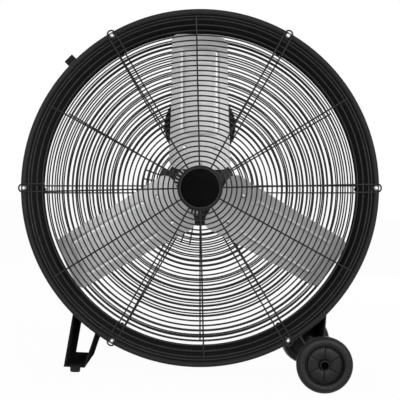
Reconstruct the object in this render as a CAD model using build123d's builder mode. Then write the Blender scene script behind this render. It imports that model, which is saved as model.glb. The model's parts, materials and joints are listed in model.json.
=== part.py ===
from build123d import *
from math import acos, asin, cos, degrees, radians, sin, sqrt
import os

# Drum fan on two wheels and two rubber feet. Millimetres, +Z up, the air blows towards -Y.
# The origin is on the floor, under the middle of the hub axis.

# ---- Driving dimensions -------------------------------------------------------------------
FLOOR_GAP = 26.0  # under the drum's rim
CLOCKING = 2.75  # turn of the guards, handle and controls about the hub axis, degrees

DRUM_BORE = 320.0  # inner radius of the duct
DRUM_DEPTH = 220.0
DRUM_SHEET = 1.5
BEAD_REACH = 9.5  # the rolled rim stands this far out of the wall
BEAD_WIDTH = 10.0
DRUM_SIDES = 64

WIRE = 2.8  # guard rings
RIB_WIRE = 3.0
FRONT_RINGS = ((49.5, 9.28, 26), (290.2, 10.4, 3), (316.5, 0.0, 1))  # first radius, pitch, count
REAR_RINGS = ((92.0, 9.6, 10), (185.5, 7.13, 11), (263.2, 9.28, 5), (305.9, 6.5, 2))
RING_SIDES = 14
INNER_SIDES = 10
INNER_LIMIT = 145.0  # rings within this radius have fewer sides
RING_GAP = 3.0  # least room between a ring's wire and the duct
RIB_BESIDE = 7.068  # a rib is one leg of its hairpin, so the screw lies this far beside it
HAIRPIN_GAP = 14.4  # between the legs' centrelines
HAIRPIN_OUT = 4.5  # the loop's centre lies this far out of the drum's wall
LEG_LAP = 4.2  # a front hairpin's free leg reaches this far past its ring
LEG_RING = -4  # which ring, counted from the outermost
LOOP_SIDES = 8
SCREW_OUT = 2.5  # the guard screws' circle lies this far out of the drum's wall
SCREW_COLLAR = 5.2  # fills the hairpin from leg to leg
SCREW_HEAD = 3.4
STAY_ANGLE = 77.5  # short stays of wire in pairs behind the motor, first pair's middle line
STAY_SPREAD = 4.5
STAY_END = 118.0
CAP_RADIUS = 42.0
CAP_SIDES = 24
CAP_HEIGHT = 8.0
CAP_BEVEL = 6.0
CAP_EDGE = 1.0
CAP_SEAT = 38.0  # disc behind the cap that joins the ribs

BLADE_COUNT = 3
TIP_GAP = 19.0  # between the blades and the duct
BLADE_ROOT = 37.5
BLADE_WIDTH = 107.6  # at the tip, as seen along the hub axis
BLADE_FLARE = 0.128  # how much wider the blade is at its root
BLADE_SHIFT = -1.0  # the blade's middle line lies this far behind the radius
BLADE_PITCH = 27.0
BLADE_SHEET = 2.0
BLADE_CAMBER = 7.0
BLADE_BLANK = 160.0  # cambered sheet that a blade is cut from, across
CAMBER_FLATS = 6  # narrow flats that make up the camber
BLADE_ANGLE = 90.0 + CLOCKING  # first blade's centreline
ROOT_CORNER = 20.0
TIP_CORNER = 14.0
PANEL_RISE = 1.5
PANEL_FROM = 103.0
PANEL_TO = 277.0
PANEL_WIDTH = 76.0
PANEL_BEAD = 8.0  # width of the pressed bead that frames the panel
PANEL_CORNER = 10.0
RIVET_CIRCLE = 80.0
RIVET_SPREAD = 29.0
RIVET_INNER = 51.0
RIVET_RADIUS = 4.0
RIVET_STAND = 1.5  # a rivet's ends stand out of the sheets by this
RIVET_PAD = (26.0, 20.0)  # sheet round the rivets: along the arm in all, and past each rivet in all
SPIDER_SHEET = 3.0
SPIDER_ARM = 36.0
HUB_BOSS = 21.0
BOSS_LENGTH = 42.0
BOSS_SIDES = 20

SHAFT_RADIUS = 8.0
SHAFT_NOSE = 4.0  # the shaft stands this far out of the spider's boss
MOTOR_RADIUS = 72.5
MOTOR_SHEET = 2.0
MOTOR_LENGTH = 62.0
SHIELD_DEPTH = 9.0
SHAFT_HOLE = 10.0
VENT_COUNT = 42
VENT_CIRCLE = 49.0
VENT_LENGTH = 10.0
VENT_WIDTH = 3.6
CORE_LENGTH = 30.0
STATOR_BORE = 38.0
ROTOR_RADIUS = 36.0
WINDING_OUTER = 60.0
WINDING_INNER = 42.0
WINDING_DEPTH = 8.0
BEARING_RADIUS = 17.5
BEARING_WIDTH = 11.0
BEARING_SIDES = 12
CORE_SIDES = 16
WINDING_SIDES = 12
STUD_NOTCH = (15.6, 7.8)  # cut in the stator's edge for a stud: along the edge, across it
PLATE_LAP = 3.0  # the plate stands this far out of the motor
PLATE_SHEET = 3.0
PLATE_SIDES = 24
CAPACITOR = (44.0, 24.0, 13.0)  # along the motor, across it, out of it
CAPACITOR_CHAMFER = 3.0
CAPACITOR_FLAT = 18  # which flat of the motor carries it

CONTROL_HEIGHT = 132.0  # control box centre from the hub axis
CONTROL_RADIUS = 75.0
CONTROL_DEPTH = 36.0
CONTROL_SIDES = 28
CONTROL_POCKET = 96.0
CONTROL_SHEET = 3.0
COVER_SHEET = 2.5
SWITCH_SIZE = 34.0
SWITCH_DEPTH = 20.0
SPINDLE = 3.0
KNOB_RADIUS = 18.0
KNOB_SIDES = 20
KNOB_HEIGHT = 14.0
KNOB_GAP = 0.3
KNOB_POINTER = 3.0
POINTER_RISE = 2.0
GLAND_BORE = 4.0
GLAND_BODY = 6.0
GLAND_NUT = 10.0
GLAND_REACH = 8.0
GLAND_SIDES = 12

HANDLE_ANGLE = 135.3 + CLOCKING
HANDLE_REACH = 32.5  # grip's outer face from the drum's wall
HANDLE_GRIP = 8.0
HANDLE_WIDTH = 20.0
HANDLE_LENGTH = 100.0
HANDLE_FOOT = 16.0
HANDLE_SHEET = 4.0
HANDLE_CORNER = 5.0

STRAP_WIDTH = 160.0  # both brackets are folded from strap this wide
STRAP_SHEET = 2.5
FLANGE_ANGLE = 5.0
VEE_FLANGE_ANGLE = 6.5
FLANGE_LAP = 0.4  # the flange starts this much inside its strut, degrees
LEG_LEFT = -239.0  # outer corners of the leg bracket's foot
LEG_RIGHT = -199.5
LEG_LEFT_LEAN = 0.1246  # sideways per unit of height
LEG_RIGHT_LEAN = 0.2887
LEG_REACH = 160.0
FOOT_HEIGHT = 11.0
FOOT_RADIUS = 10.2
FOOT_INSET = 18.0
BOLT_SHANK = 2.9
BOLT_HEAD = 5.5
BOLT_HEIGHT = 3.5
BOLT_TAIL = 2.0  # what shows of a bolt inside the drum
BOLT_INSET = 20.0

WHEEL_X = 237.7
WHEEL_RADIUS = 51.0
WHEEL_WIDTH = 40.0
WHEEL_TRACK = 298.0  # between the wheels' middles
WHEEL_SIDES = 24
TREAD_BEVEL = 7.0
TREAD_DRAFT = 3.0  # the tread is this much smaller at its inner side
TYRE_BORE = 34.0
TYRE_DISH = 2.0  # the tyre's faces fall this much towards the disc
DISC_RECESS = 6.0
WHEEL_BOSS = 9.0
AXLE_RADIUS = 5.0
AXLE_CAP = 6.9
AXLE_CAP_HEIGHT = 4.5
SPACER_RADIUS = 8.0
VEE_OUTER = (247.0, 176.0)  # where the vee's two straight struts would end
VEE_INNER = (186.0, 113.0)
WEB_BOTTOM = 69.0

SEAT = 0.1  # gap of a piece that sits against a curved wall
AXLE_SEAT = 0.3
AXLE_PLAY = 0.5  # end play of a wheel
RUN_FIT = 0.06  # radial clearance of a turning fit
SHAFT_FIT = 0.03

# ---- Worked out from the driving dimensions -------------------------------------------------
half_depth = DRUM_DEPTH / 2
wall = DRUM_BORE + DRUM_SHEET
rim = wall + BEAD_REACH
hub_height = rim + FLOOR_GAP
blade_tip = DRUM_BORE - TIP_GAP
plate_radius = MOTOR_RADIUS + PLATE_LAP
hairpin_end = wall + HAIRPIN_OUT
screw_circle = wall + SCREW_OUT
rib_lean = degrees(asin(RIB_BESIDE / screw_circle))  # so a rib turns this far past its screw
rib_face = half_depth + RIB_WIRE  # outer faces of both guards' ribs, from the drum's middle
plate_front = half_depth - PLATE_SHEET
can_front = plate_front - MOTOR_LENGTH
can_bore = MOTOR_RADIUS - MOTOR_SHEET
can_floor = plate_front - MOTOR_SHEET
shield_front = can_front - SHIELD_DEPTH
core_back = (can_front + can_floor + CORE_LENGTH) / 2
core_front = core_back - CORE_LENGTH
blade_angles = [BLADE_ANGLE + 360 / BLADE_COUNT * n for n in range(BLADE_COUNT)]
cover_front = rib_face + CONTROL_DEPTH
cover_back = cover_front + COVER_SHEET
flat_share = cos(radians(180 / VENT_COUNT))  # how near the motor's flats are, of its corners


def ring_radii(runs, inside):
    """Radii of evenly spaced runs of rings, from a radius inside them out to the duct."""
    radii = [first + pitch * n for first, pitch, count in runs for n in range(count)]
    return [radius for radius in radii if inside < radius < DRUM_BORE - RING_GAP]


front_rings = ring_radii(FRONT_RINGS, CAP_SEAT)
rear_rings = ring_radii(REAR_RINGS, plate_radius + RING_GAP)


def facing(depth, x=0.0, z=hub_height):
    """Plane at this depth that faces the front: its normal is -Y and its own y is +Z."""
    return Plane(origin=(x, depth, z), x_dir=(1, 0, 0), z_dir=(0, -1, 0))


def around(angle, radius):
    """Point at an angle and radius, in a facing plane."""
    return (radius * cos(radians(angle)), radius * sin(radians(angle)))


def arc_points(centre, radius, start, end, steps=3):
    """Points along an arc, its ends included."""
    turns = [start + (end - start) * n / steps for n in range(steps + 1)]
    return [(centre[0] + x, centre[1] + y) for x, y in (around(turn, radius) for turn in turns)]


def flat_hole(radius, sides, turn=0.0):
    """Many-sided hole whose flats keep clear of a round piece of this radius."""
    RegularPolygon(radius, sides, major_radius=False, rotation=turn, mode=Mode.SUBTRACT)


def outward(angle, radius, depth):
    """Plane on a cylinder about the hub axis: its normal points away from the axis."""
    x, z = around(angle, radius)
    return Plane(origin=(x, depth, hub_height + z), x_dir=(0, 1, 0), z_dir=(x, 0, z))


def many_sided(section, sides, x=0.0, z=hub_height, start=CLOCKING, closed=True):
    """Flat-sided body about an axis along Y, from a section of (radius, depth) points.

    A closed section makes a ring. An open one makes a solid body with a flat face at each end.
    """
    loops = []
    for radius, depth in section:
        places = [around(start + 360 / sides * n, radius) for n in range(sides)]
        loops.append([Vector(x + px, depth, z + pz) for px, pz in places])
    faces = []
    pairs = list(zip(loops, loops[1:] + loops[:1]))
    for one, other in pairs if closed else pairs[:-1]:
        for n in range(sides):
            m = (n + 1) % sides
            faces.append(Face(Wire.make_polygon([one[n], one[m], other[m], other[n]])))
    if not closed:
        faces += [Face(Wire.make_polygon(loops[0])), Face(Wire.make_polygon(loops[-1]))]
    return Solid(Shell(faces))


def guard_ring(radius, seat, apex):
    """Closed ring of three-sided wire: its flat side lies at the depth seat."""
    sides = INNER_SIDES if radius < INNER_LIMIT else RING_SIDES
    corners = [(radius - WIRE / 2, seat), (radius + WIRE / 2, seat), (radius, apex)]
    return many_sided(corners, sides)


os.makedirs("parts", exist_ok=True)

# ---- Drum -----------------------------------------------------------------------------------
with BuildPart() as drum_shell:
    rolled_rim = [
        (DRUM_BORE, -half_depth),
        (rim - BEAD_REACH / 2, -half_depth),
        (rim, -half_depth + BEAD_WIDTH / 2),
        (wall, -half_depth + BEAD_WIDTH),
    ]
    other_rim = [(r, -depth) for r, depth in reversed(rolled_rim)]
    add(many_sided(rolled_rim + other_rim, DRUM_SIDES))
drum_shell.part.label = "drum_shell"
export_step(drum_shell.part, "parts/drum_shell.step")

# ---- Guards -----------------------------------------------------------------------------------
loop_outer = (HAIRPIN_GAP + RIB_WIRE) / 2
loop_inner = (HAIRPIN_GAP - RIB_WIRE) / 2


def hairpin(leg):
    """Hairpin of wire that points outwards along x, its middle line on the x axis."""
    middle = hairpin_end - leg / 2
    half_side = 180 / LOOP_SIDES
    with BuildSketch() as wire:
        with Locations((hairpin_end, 0)):
            RegularPolygon(loop_outer, LOOP_SIDES, major_radius=False, rotation=half_side)
        with Locations((middle, 0)):
            Rectangle(leg, HAIRPIN_GAP + RIB_WIRE)
        with Locations((hairpin_end, 0)):
            flat_hole(loop_inner, LOOP_SIDES, half_side)
        with Locations((middle, 0)):
            Rectangle(leg, HAIRPIN_GAP - RIB_WIRE, mode=Mode.SUBTRACT)
    return wire.sketch


with BuildPart() as front_guard_ribs:
    with BuildSketch(facing(-half_depth)):
        RegularPolygon(CAP_SEAT, CAP_SIDES)
        with PolarLocations(0, 12, start_angle=CLOCKING + rib_lean):
            with Locations((front_rings[-1] / 2, 0)):
                Rectangle(front_rings[-1], RIB_WIRE)
        with PolarLocations(0, 6, start_angle=CLOCKING + rib_lean):
            free_leg = hairpin(hairpin_end - front_rings[LEG_RING] + LEG_LAP)
            add(free_leg.moved(Location((0, -HAIRPIN_GAP / 2))))
    extrude(amount=RIB_WIRE)
front_guard_ribs.part.label = "front_guard_ribs"
export_step(front_guard_ribs.part, "parts/front_guard_ribs.step")

with BuildPart() as front_guard_rings:
    for radius in front_rings:
        add(guard_ring(radius, -half_depth, -half_depth + WIRE))
front_guard_rings.part.label = "front_guard_rings"
export_step(front_guard_rings.part, "parts/front_guard_rings.step")

with BuildPart() as rear_guard_ribs:
    with BuildSketch(facing(rib_face)):
        with PolarLocations(0, 6, start_angle=CLOCKING + 30):
            with Locations(((rear_rings[-1] + plate_radius) / 2, 0)):
                Rectangle(rear_rings[-1] - plate_radius + RIB_WIRE, RIB_WIRE)
        with PolarLocations(0, 6, start_angle=CLOCKING):
            add(hairpin(hairpin_end - plate_radius + RIB_WIRE))
        for spread in (-STAY_SPREAD, STAY_SPREAD):
            with PolarLocations(0, 4, start_angle=STAY_ANGLE + spread):
                with Locations(((plate_radius + STAY_END) / 2, 0)):
                    Rectangle(STAY_END - plate_radius + RIB_WIRE, RIB_WIRE)
        RegularPolygon(plate_radius, PLATE_SIDES, rotation=CLOCKING)
        flat_hole(plate_radius - RIB_WIRE, PLATE_SIDES, CLOCKING)
    extrude(amount=RIB_WIRE)
rear_guard_ribs.part.label = "rear_guard_ribs"
export_step(rear_guard_ribs.part, "parts/rear_guard_ribs.step")

with BuildPart() as rear_guard_rings:
    for radius in rear_rings:
        add(guard_ring(radius, half_depth, half_depth - WIRE))
rear_guard_rings.part.label = "rear_guard_rings"
export_step(rear_guard_rings.part, "parts/rear_guard_rings.step")

with BuildPart() as guard_screws:
    for seat, head in ((-half_depth, -rib_face), (rib_face, rib_face + RIB_WIRE)):
        for depth, radius, sides in ((seat, SCREW_COLLAR, 6), (head, SCREW_HEAD, 4)):
            with BuildSketch(facing(depth)):
                with PolarLocations(screw_circle, 6, start_angle=CLOCKING):
                    RegularPolygon(radius, sides)
            extrude(amount=RIB_WIRE)
guard_screws.part.label = "guard_screws"
export_step(guard_screws.part, "parts/guard_screws.step")

with BuildPart() as centre_cap:
    cap_section = [
        (CAP_RADIUS, -rib_face),
        (CAP_RADIUS, -rib_face - CAP_EDGE),
        (CAP_RADIUS - CAP_BEVEL, -rib_face - CAP_HEIGHT),
    ]
    add(many_sided(cap_section, CAP_SIDES, closed=False))
centre_cap.part.label = "centre_cap"
export_step(centre_cap.part, "parts/centre_cap.step")

# ---- Motor ------------------------------------------------------------------------------------
with BuildPart() as motor_mount_plate:
    with BuildSketch(facing(half_depth)):
        RegularPolygon(plate_radius, PLATE_SIDES, rotation=CLOCKING)
    extrude(amount=PLATE_SHEET)
motor_mount_plate.part.label = "motor_mount_plate"
export_step(motor_mount_plate.part, "parts/motor_mount_plate.step")

with BuildPart() as motor_can:
    can_section = [
        (MOTOR_RADIUS, plate_front),
        (MOTOR_RADIUS, can_front),
        (can_bore, can_front),
        (can_bore, can_floor),
    ]
    add(many_sided(can_section, VENT_COUNT, closed=False))
motor_can.part.label = "motor_can"
export_step(motor_can.part, "parts/motor_can.step")

with BuildPart() as motor_front_shield:
    with BuildSketch(facing(can_front)):
        RegularPolygon(MOTOR_RADIUS, VENT_COUNT, rotation=CLOCKING)
        flat_hole(SHAFT_HOLE, 12)
        with PolarLocations(VENT_CIRCLE, VENT_COUNT, start_angle=CLOCKING + 180 / VENT_COUNT):
            Rectangle(VENT_LENGTH, VENT_WIDTH, mode=Mode.SUBTRACT)
    extrude(amount=SHIELD_DEPTH)
motor_front_shield.part.label = "motor_front_shield"
export_step(motor_front_shield.part, "parts/motor_front_shield.step")

with BuildPart() as stator_core:
    with BuildSketch(facing(core_back)):
        RegularPolygon(can_bore * flat_share - SEAT, CORE_SIDES)
        flat_hole(STATOR_BORE, CORE_SIDES)
        with PolarLocations(can_bore, 4, start_angle=CLOCKING + 45):
            Rectangle(*STUD_NOTCH, mode=Mode.SUBTRACT)
    extrude(amount=CORE_LENGTH)
stator_core.part.label = "stator_core"
export_step(stator_core.part, "parts/stator_core.step")

with BuildPart() as stator_windings:
    for back in (core_back + WINDING_DEPTH, core_front):
        with BuildSketch(facing(back)):
            RegularPolygon(WINDING_OUTER, WINDING_SIDES)
            flat_hole(WINDING_INNER, WINDING_SIDES)
        extrude(amount=WINDING_DEPTH)
stator_windings.part.label = "stator_windings"
export_step(stator_windings.part, "parts/stator_windings.step")

with BuildPart() as rotor_core:
    with BuildSketch(facing(core_back)):
        RegularPolygon(ROTOR_RADIUS, CORE_SIDES)
        flat_hole(SHAFT_RADIUS + SHAFT_FIT, CORE_SIDES)
    extrude(amount=CORE_LENGTH)
rotor_core.part.label = "rotor_core"
export_step(rotor_core.part, "parts/rotor_core.step")

with BuildPart() as motor_shaft:
    with BuildSketch(facing(can_floor - 1)):
        Circle(SHAFT_RADIUS)
    extrude(amount=can_floor - 1 + BOSS_LENGTH / 2 + SHAFT_NOSE)
motor_shaft.part.label = "motor_shaft"
export_step(motor_shaft.part, "parts/motor_shaft.step")

with BuildPart() as motor_bearings:
    for back in (can_front + BEARING_WIDTH, can_floor):
        with BuildSketch(facing(back)):
            RegularPolygon(BEARING_RADIUS, BEARING_SIDES)
            flat_hole(SHAFT_RADIUS + SHAFT_FIT, BEARING_SIDES)
        extrude(amount=BEARING_WIDTH)
motor_bearings.part.label = "motor_bearings"
export_step(motor_bearings.part, "parts/motor_bearings.step")

with BuildPart() as motor_bolts:
    stud_circle = can_bore - BOLT_SHANK - 1
    for depth, radius, length in (
        (half_depth, BOLT_SHANK, half_depth - shield_front),
        (shield_front, BOLT_HEAD, BOLT_HEIGHT),
        (half_depth + BOLT_HEIGHT, BOLT_HEAD, BOLT_HEIGHT),
    ):
        with BuildSketch(facing(depth)):
            with PolarLocations(stud_circle, 4, start_angle=CLOCKING + 45):
                RegularPolygon(radius, 6)
        extrude(amount=length)
motor_bolts.part.label = "motor_bolts"
export_step(motor_bolts.part, "parts/motor_bolts.step")

capacitor_angle = CLOCKING + 360 / VENT_COUNT * (CAPACITOR_FLAT + 0.5)
with BuildPart() as capacitor_box:
    with BuildSketch(outward(capacitor_angle, MOTOR_RADIUS * flat_share, can_front + MOTOR_LENGTH / 2)):
        Rectangle(CAPACITOR[0], CAPACITOR[1])
    extrude(amount=CAPACITOR[2])
    chamfer(capacitor_box.faces().sort_by(Axis.X)[0].edges(), CAPACITOR_CHAMFER)
capacitor_box.part.label = "capacitor_box"
export_step(capacitor_box.part, "parts/capacitor_box.step")

# ---- Rotor ------------------------------------------------------------------------------------
pitch = radians(BLADE_PITCH)
sweep_depth = 60.0  # nothing of the rotor's front stands further from its middle than this
camber_radius = (BLADE_BLANK**2 / 4 + BLADE_CAMBER**2) / (2 * BLADE_CAMBER)


def blade_frame(angle, radius=0.0):
    """Section plane across a blade: x along the chord to the trailing edge, y out of its front."""
    x, z = around(angle, 1)
    chord = Vector(-z * cos(pitch), -sin(pitch), x * cos(pitch))
    place = (x * radius, 0, hub_height + z * radius)
    return Plane(origin=place, x_dir=chord, z_dir=Vector(x, 0, z))


def camber_strip(angle, start, end, below, above):
    """Cambered sheet along a blade, between two heights over its middle surface."""
    spots = [BLADE_BLANK * (n / CAMBER_FLATS - 0.5) for n in range(CAMBER_FLATS + 1)]
    middle = [(x, camber_radius - sqrt(camber_radius**2 - x**2)) for x in spots]
    under = [(x, sag + below) for x, sag in middle]
    over = [(x, sag + above) for x, sag in reversed(middle)]
    with BuildSketch(blade_frame(angle, start)) as strip:
        with BuildLine():
            Polyline(*under, *over, close=True)
        make_face()
    return extrude(strip.sketch, amount=end - start)


def cut_to(strip, outline, angle):
    """Sheet trimmed to an outline as it is seen along the hub axis, the outline turned by angle."""
    with BuildPart(mode=Mode.PRIVATE) as trimmed:
        add(strip)
        with BuildSketch(facing(sweep_depth)):
            add(outline, rotation=angle)
        extrude(amount=2 * sweep_depth, mode=Mode.INTERSECT)
    return trimmed.part


half_width = BLADE_WIDTH / 2
tip_rise = half_width - TIP_CORNER
tip_reach = sqrt((blade_tip - TIP_CORNER) ** 2 - tip_rise**2)
tip_turn = degrees(acos(tip_reach / (blade_tip - TIP_CORNER)))
side_end = BLADE_ROOT + ROOT_CORNER
side_steps = [tip_reach + (side_end - tip_reach) * n / 3 for n in (1, 2)]
straight_half = [
    *arc_points((0, 0), blade_tip, 0, tip_turn, 2),
    *arc_points((tip_reach, tip_rise), TIP_CORNER, tip_turn, 90)[1:],
    *[(x, half_width) for x in side_steps],
    *arc_points((side_end, half_width - ROOT_CORNER), ROOT_CORNER, 90, 180),
]


def flared(x):
    """How wide the blade is at this radius, of its width at the tip."""
    return 1 + BLADE_FLARE * ((blade_tip - x) / (blade_tip - BLADE_ROOT)) ** 2


upper_half = [(x, y * flared(x) + BLADE_SHIFT) for x, y in straight_half]
lower_half = [(x, -y * flared(x) + BLADE_SHIFT) for x, y in reversed(straight_half[1:])]
with BuildSketch() as blade_outline:
    with BuildLine():
        Polyline(*upper_half, *lower_half, close=True)
    make_face()


def panel_outline(inset):
    """Outline of the framed panel, made smaller by inset all round."""
    with BuildSketch() as outline:
        with Locations(((PANEL_FROM + PANEL_TO) / 2, BLADE_SHIFT)):
            Rectangle(PANEL_TO - PANEL_FROM - 2 * inset, PANEL_WIDTH - 2 * inset)
        chamfer(outline.vertices(), PANEL_CORNER - inset / 2)
    return outline.sketch


def bead_outline(inset):
    """Outline of the bead round the panel, made narrower by inset on both sides."""
    with BuildSketch() as outline:
        add(panel_outline(inset))
        add(panel_outline(PANEL_BEAD - inset), mode=Mode.SUBTRACT)
    return outline.sketch


for number, angle in enumerate(blade_angles, start=1):
    sheet = camber_strip(angle, BLADE_ROOT - 5, blade_tip + 5, 0, BLADE_SHEET)
    raised = camber_strip(angle, PANEL_FROM - 5, PANEL_TO + 5, PANEL_RISE, PANEL_RISE + BLADE_SHEET)
    under = camber_strip(angle, PANEL_FROM - 5, PANEL_TO + 5, -1, PANEL_RISE)
    with BuildPart() as blade:
        add(cut_to(sheet, blade_outline.sketch, angle))
        add(cut_to(raised, bead_outline(0), angle))
        add(cut_to(under, bead_outline(BLADE_SHEET), angle), mode=Mode.SUBTRACT)
    name = f"blade_{number}"
    blade.part.label = name
    export_step(blade.part, f"parts/{name}.step")

with BuildSketch() as arm_outline:
    with Locations((RIVET_CIRCLE / 2, 0)):
        Rectangle(RIVET_CIRCLE, SPIDER_ARM)
    with Locations((RIVET_CIRCLE, 0)):
        Rectangle(RIVET_PAD[0], 2 * RIVET_SPREAD + RIVET_PAD[1])

arm_end = RIVET_CIRCLE + ROOT_CORNER
arm_strips = [camber_strip(angle, RIVET_RADIUS, arm_end, -SPIDER_SHEET, 0) for angle in blade_angles]
with BuildPart() as spider:
    for angle, strip in zip(blade_angles, arm_strips):
        add(cut_to(strip, arm_outline.sketch, angle))
    with BuildSketch(facing(BOSS_LENGTH / 2)):
        RegularPolygon(HUB_BOSS, BOSS_SIDES)
    extrude(amount=BOSS_LENGTH)
    with BuildSketch(facing(sweep_depth)):
        RegularPolygon(SHAFT_RADIUS + SHAFT_FIT, CORE_SIDES, major_radius=False)
    extrude(amount=2 * sweep_depth, mode=Mode.SUBTRACT)
spider.part.label = "spider"
export_step(spider.part, "parts/spider.step")

rivet_places = [(RIVET_CIRCLE, RIVET_SPREAD), (RIVET_CIRCLE, -RIVET_SPREAD), (RIVET_INNER, 0)]
with BuildPart() as blade_rivets:
    for angle in blade_angles:
        for radius, spread in rivet_places:
            across = spread / cos(pitch)
            sag = camber_radius - sqrt(camber_radius**2 - across**2)
            seat = blade_frame(angle, radius)
            foot = seat.from_local_coords((across, sag - SPIDER_SHEET - RIVET_STAND, 0))
            with BuildSketch(Plane(origin=foot, x_dir=seat.z_dir, z_dir=seat.y_dir)):
                RegularPolygon(RIVET_RADIUS, 6)
            extrude(amount=SPIDER_SHEET + BLADE_SHEET + 2 * RIVET_STAND)
blade_rivets.part.label = "blade_rivets"
export_step(blade_rivets.part, "parts/blade_rivets.step")

# ---- Controls -----------------------------------------------------------------------------------
control_x, control_rise = around(90 + CLOCKING, CONTROL_HEIGHT)
control_z = hub_height + control_rise
control_middle = rib_face + CONTROL_DEPTH / 2
gland_start = control_z - CONTROL_RADIUS - GLAND_REACH
pocket_floor = control_z - CONTROL_POCKET / 2
with BuildPart() as control_housing:
    with BuildSketch(facing(cover_front, control_x, control_z)):
        RegularPolygon(CONTROL_RADIUS, CONTROL_SIDES)
    extrude(amount=CONTROL_DEPTH)
    with BuildSketch(facing(cover_front, control_x, control_z)):
        Rectangle(CONTROL_POCKET, CONTROL_POCKET)
    extrude(amount=CONTROL_DEPTH - CONTROL_SHEET, mode=Mode.SUBTRACT)
    with BuildSketch(Plane.XY.offset(gland_start)):
        with Locations((control_x, control_middle)):
            RegularPolygon(GLAND_BODY + SEAT, GLAND_SIDES)
    extrude(amount=pocket_floor - gland_start + 1, mode=Mode.SUBTRACT)
control_housing.part.label = "control_housing"
export_step(control_housing.part, "parts/control_housing.step")

with BuildPart() as control_cover:
    with BuildSketch(facing(cover_back, control_x, control_z)):
        RegularPolygon(CONTROL_RADIUS, CONTROL_SIDES)
        flat_hole(SPINDLE + 1, 12)
    extrude(amount=COVER_SHEET)
control_cover.part.label = "control_cover"
export_step(control_cover.part, "parts/control_cover.step")

with BuildPart() as speed_switch:
    with BuildSketch(facing(cover_front, control_x, control_z)):
        Rectangle(SWITCH_SIZE, SWITCH_SIZE)
        flat_hole(SPINDLE + RUN_FIT, 16)
    extrude(amount=SWITCH_DEPTH)
speed_switch.part.label = "speed_switch"
export_step(speed_switch.part, "parts/speed_switch.step")

knob_seat = cover_back + KNOB_GAP
knob_end = knob_seat + KNOB_HEIGHT
with BuildPart() as speed_knob:
    with BuildSketch(facing(knob_end, control_x, control_z)):
        RegularPolygon(KNOB_RADIUS, KNOB_SIDES)
    extrude(amount=KNOB_HEIGHT)
    with BuildSketch(facing(knob_end + POINTER_RISE, control_x, control_z)):
        with Locations((0, KNOB_RADIUS / 2)):
            Rectangle(KNOB_POINTER, KNOB_RADIUS - KNOB_POINTER)
    extrude(amount=POINTER_RISE)
    with BuildSketch(facing(knob_seat, control_x, control_z)):
        Circle(SPINDLE)
    extrude(amount=SWITCH_DEPTH)
speed_knob.part.label = "speed_knob"
export_step(speed_knob.part, "parts/speed_knob.step")

with BuildPart() as cable_gland:
    gland_plane = Plane.XY.offset(gland_start)
    with BuildSketch(gland_plane):
        with Locations((control_x, control_middle)):
            RegularPolygon(GLAND_BODY, GLAND_SIDES)
    extrude(amount=pocket_floor - gland_start)
    with BuildSketch(gland_plane):
        with Locations((control_x, control_middle)):
            RegularPolygon(GLAND_NUT, 6)
    extrude(amount=GLAND_REACH - SEAT)
    with BuildSketch(gland_plane):
        with Locations((control_x, control_middle)):
            RegularPolygon(GLAND_BORE, GLAND_SIDES)
    extrude(amount=pocket_floor - gland_start, mode=Mode.SUBTRACT)
cable_gland.part.label = "cable_gland"
export_step(cable_gland.part, "parts/cable_gland.step")

# ---- Handle ------------------------------------------------------------------------------------
grip_half = HANDLE_LENGTH / 2
foot_end = grip_half + HANDLE_FOOT
handle_seat = wall + SEAT
handle_top = wall + HANDLE_REACH
grip_under = handle_top - HANDLE_GRIP
hx, hz = around(HANDLE_ANGLE, 1)
outer_line = [
    (handle_seat, foot_end),
    (handle_seat + HANDLE_SHEET, foot_end),
    (handle_seat + HANDLE_SHEET, grip_half + HANDLE_SHEET / 2),
    (handle_top - HANDLE_CORNER, grip_half),
    (handle_top, grip_half - HANDLE_CORNER),
]
inner_line = [
    (grip_under, grip_half - HANDLE_GRIP - HANDLE_SHEET),
    (grip_under - HANDLE_SHEET, grip_half - HANDLE_GRIP),
    (handle_seat, grip_half - HANDLE_CORNER),
]
with BuildPart() as handle:
    with BuildSketch(Plane(origin=(0, 0, hub_height), x_dir=(hx, 0, hz), z_dir=(hz, 0, -hx))):
        with BuildLine():
            front_outer = [(r, -depth) for r, depth in reversed(outer_line)]
            front_inner = [(r, -depth) for r, depth in reversed(inner_line)]
            Polyline(*outer_line, *front_outer, *front_inner, *inner_line, close=True)
        make_face()
    extrude(amount=HANDLE_WIDTH / 2, both=True)
handle.part.label = "handle"
export_step(handle.part, "parts/handle.step")

with BuildPart() as handle_bolts:
    for side in (-1, 1):
        depth = side * (foot_end - HANDLE_FOOT / 2 + 1)
        with BuildSketch(outward(HANDLE_ANGLE, DRUM_BORE - BOLT_TAIL, depth)):
            RegularPolygon(BOLT_SHANK, 6)
        extrude(amount=BOLT_TAIL + DRUM_SHEET + HANDLE_SHEET + BOLT_HEIGHT)
        with BuildSketch(outward(HANDLE_ANGLE, handle_seat + HANDLE_SHEET, depth)):
            RegularPolygon(BOLT_HEAD, 6)
        extrude(amount=BOLT_HEIGHT)
handle_bolts.part.label = "handle_bolts"
export_step(handle_bolts.part, "parts/handle_bolts.step")


# ---- Leg bracket and feet ------------------------------------------------------------------------
def wall_angle(start, end):
    """Angle about the hub axis where a straight line in a facing plane crosses the drum wall."""
    (x, z), (far_x, far_z) = start, end
    rise, run, climb = z - hub_height, far_x - x, far_z - z
    a = run**2 + climb**2
    b = x * run + rise * climb
    share = (-b - sqrt(b**2 - a * (x**2 + rise**2 - wall**2))) / a
    return 360 - degrees(acos((x + run * share) / wall))


def flanges(spans):
    """Strips that follow the drum wall between pairs of angles, as deep as the strap is wide."""
    with BuildSketch(facing(STRAP_WIDTH / 2)) as strips:
        for start, end in spans:
            with BuildLine():
                Polyline((0, 0), around(start, 2 * wall), around(end, 2 * wall), close=True)
            make_face()
        Circle(wall + SEAT + STRAP_SHEET, mode=Mode.INTERSECT)
        Circle(wall + SEAT, mode=Mode.SUBTRACT)
    return strips.sketch


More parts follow.
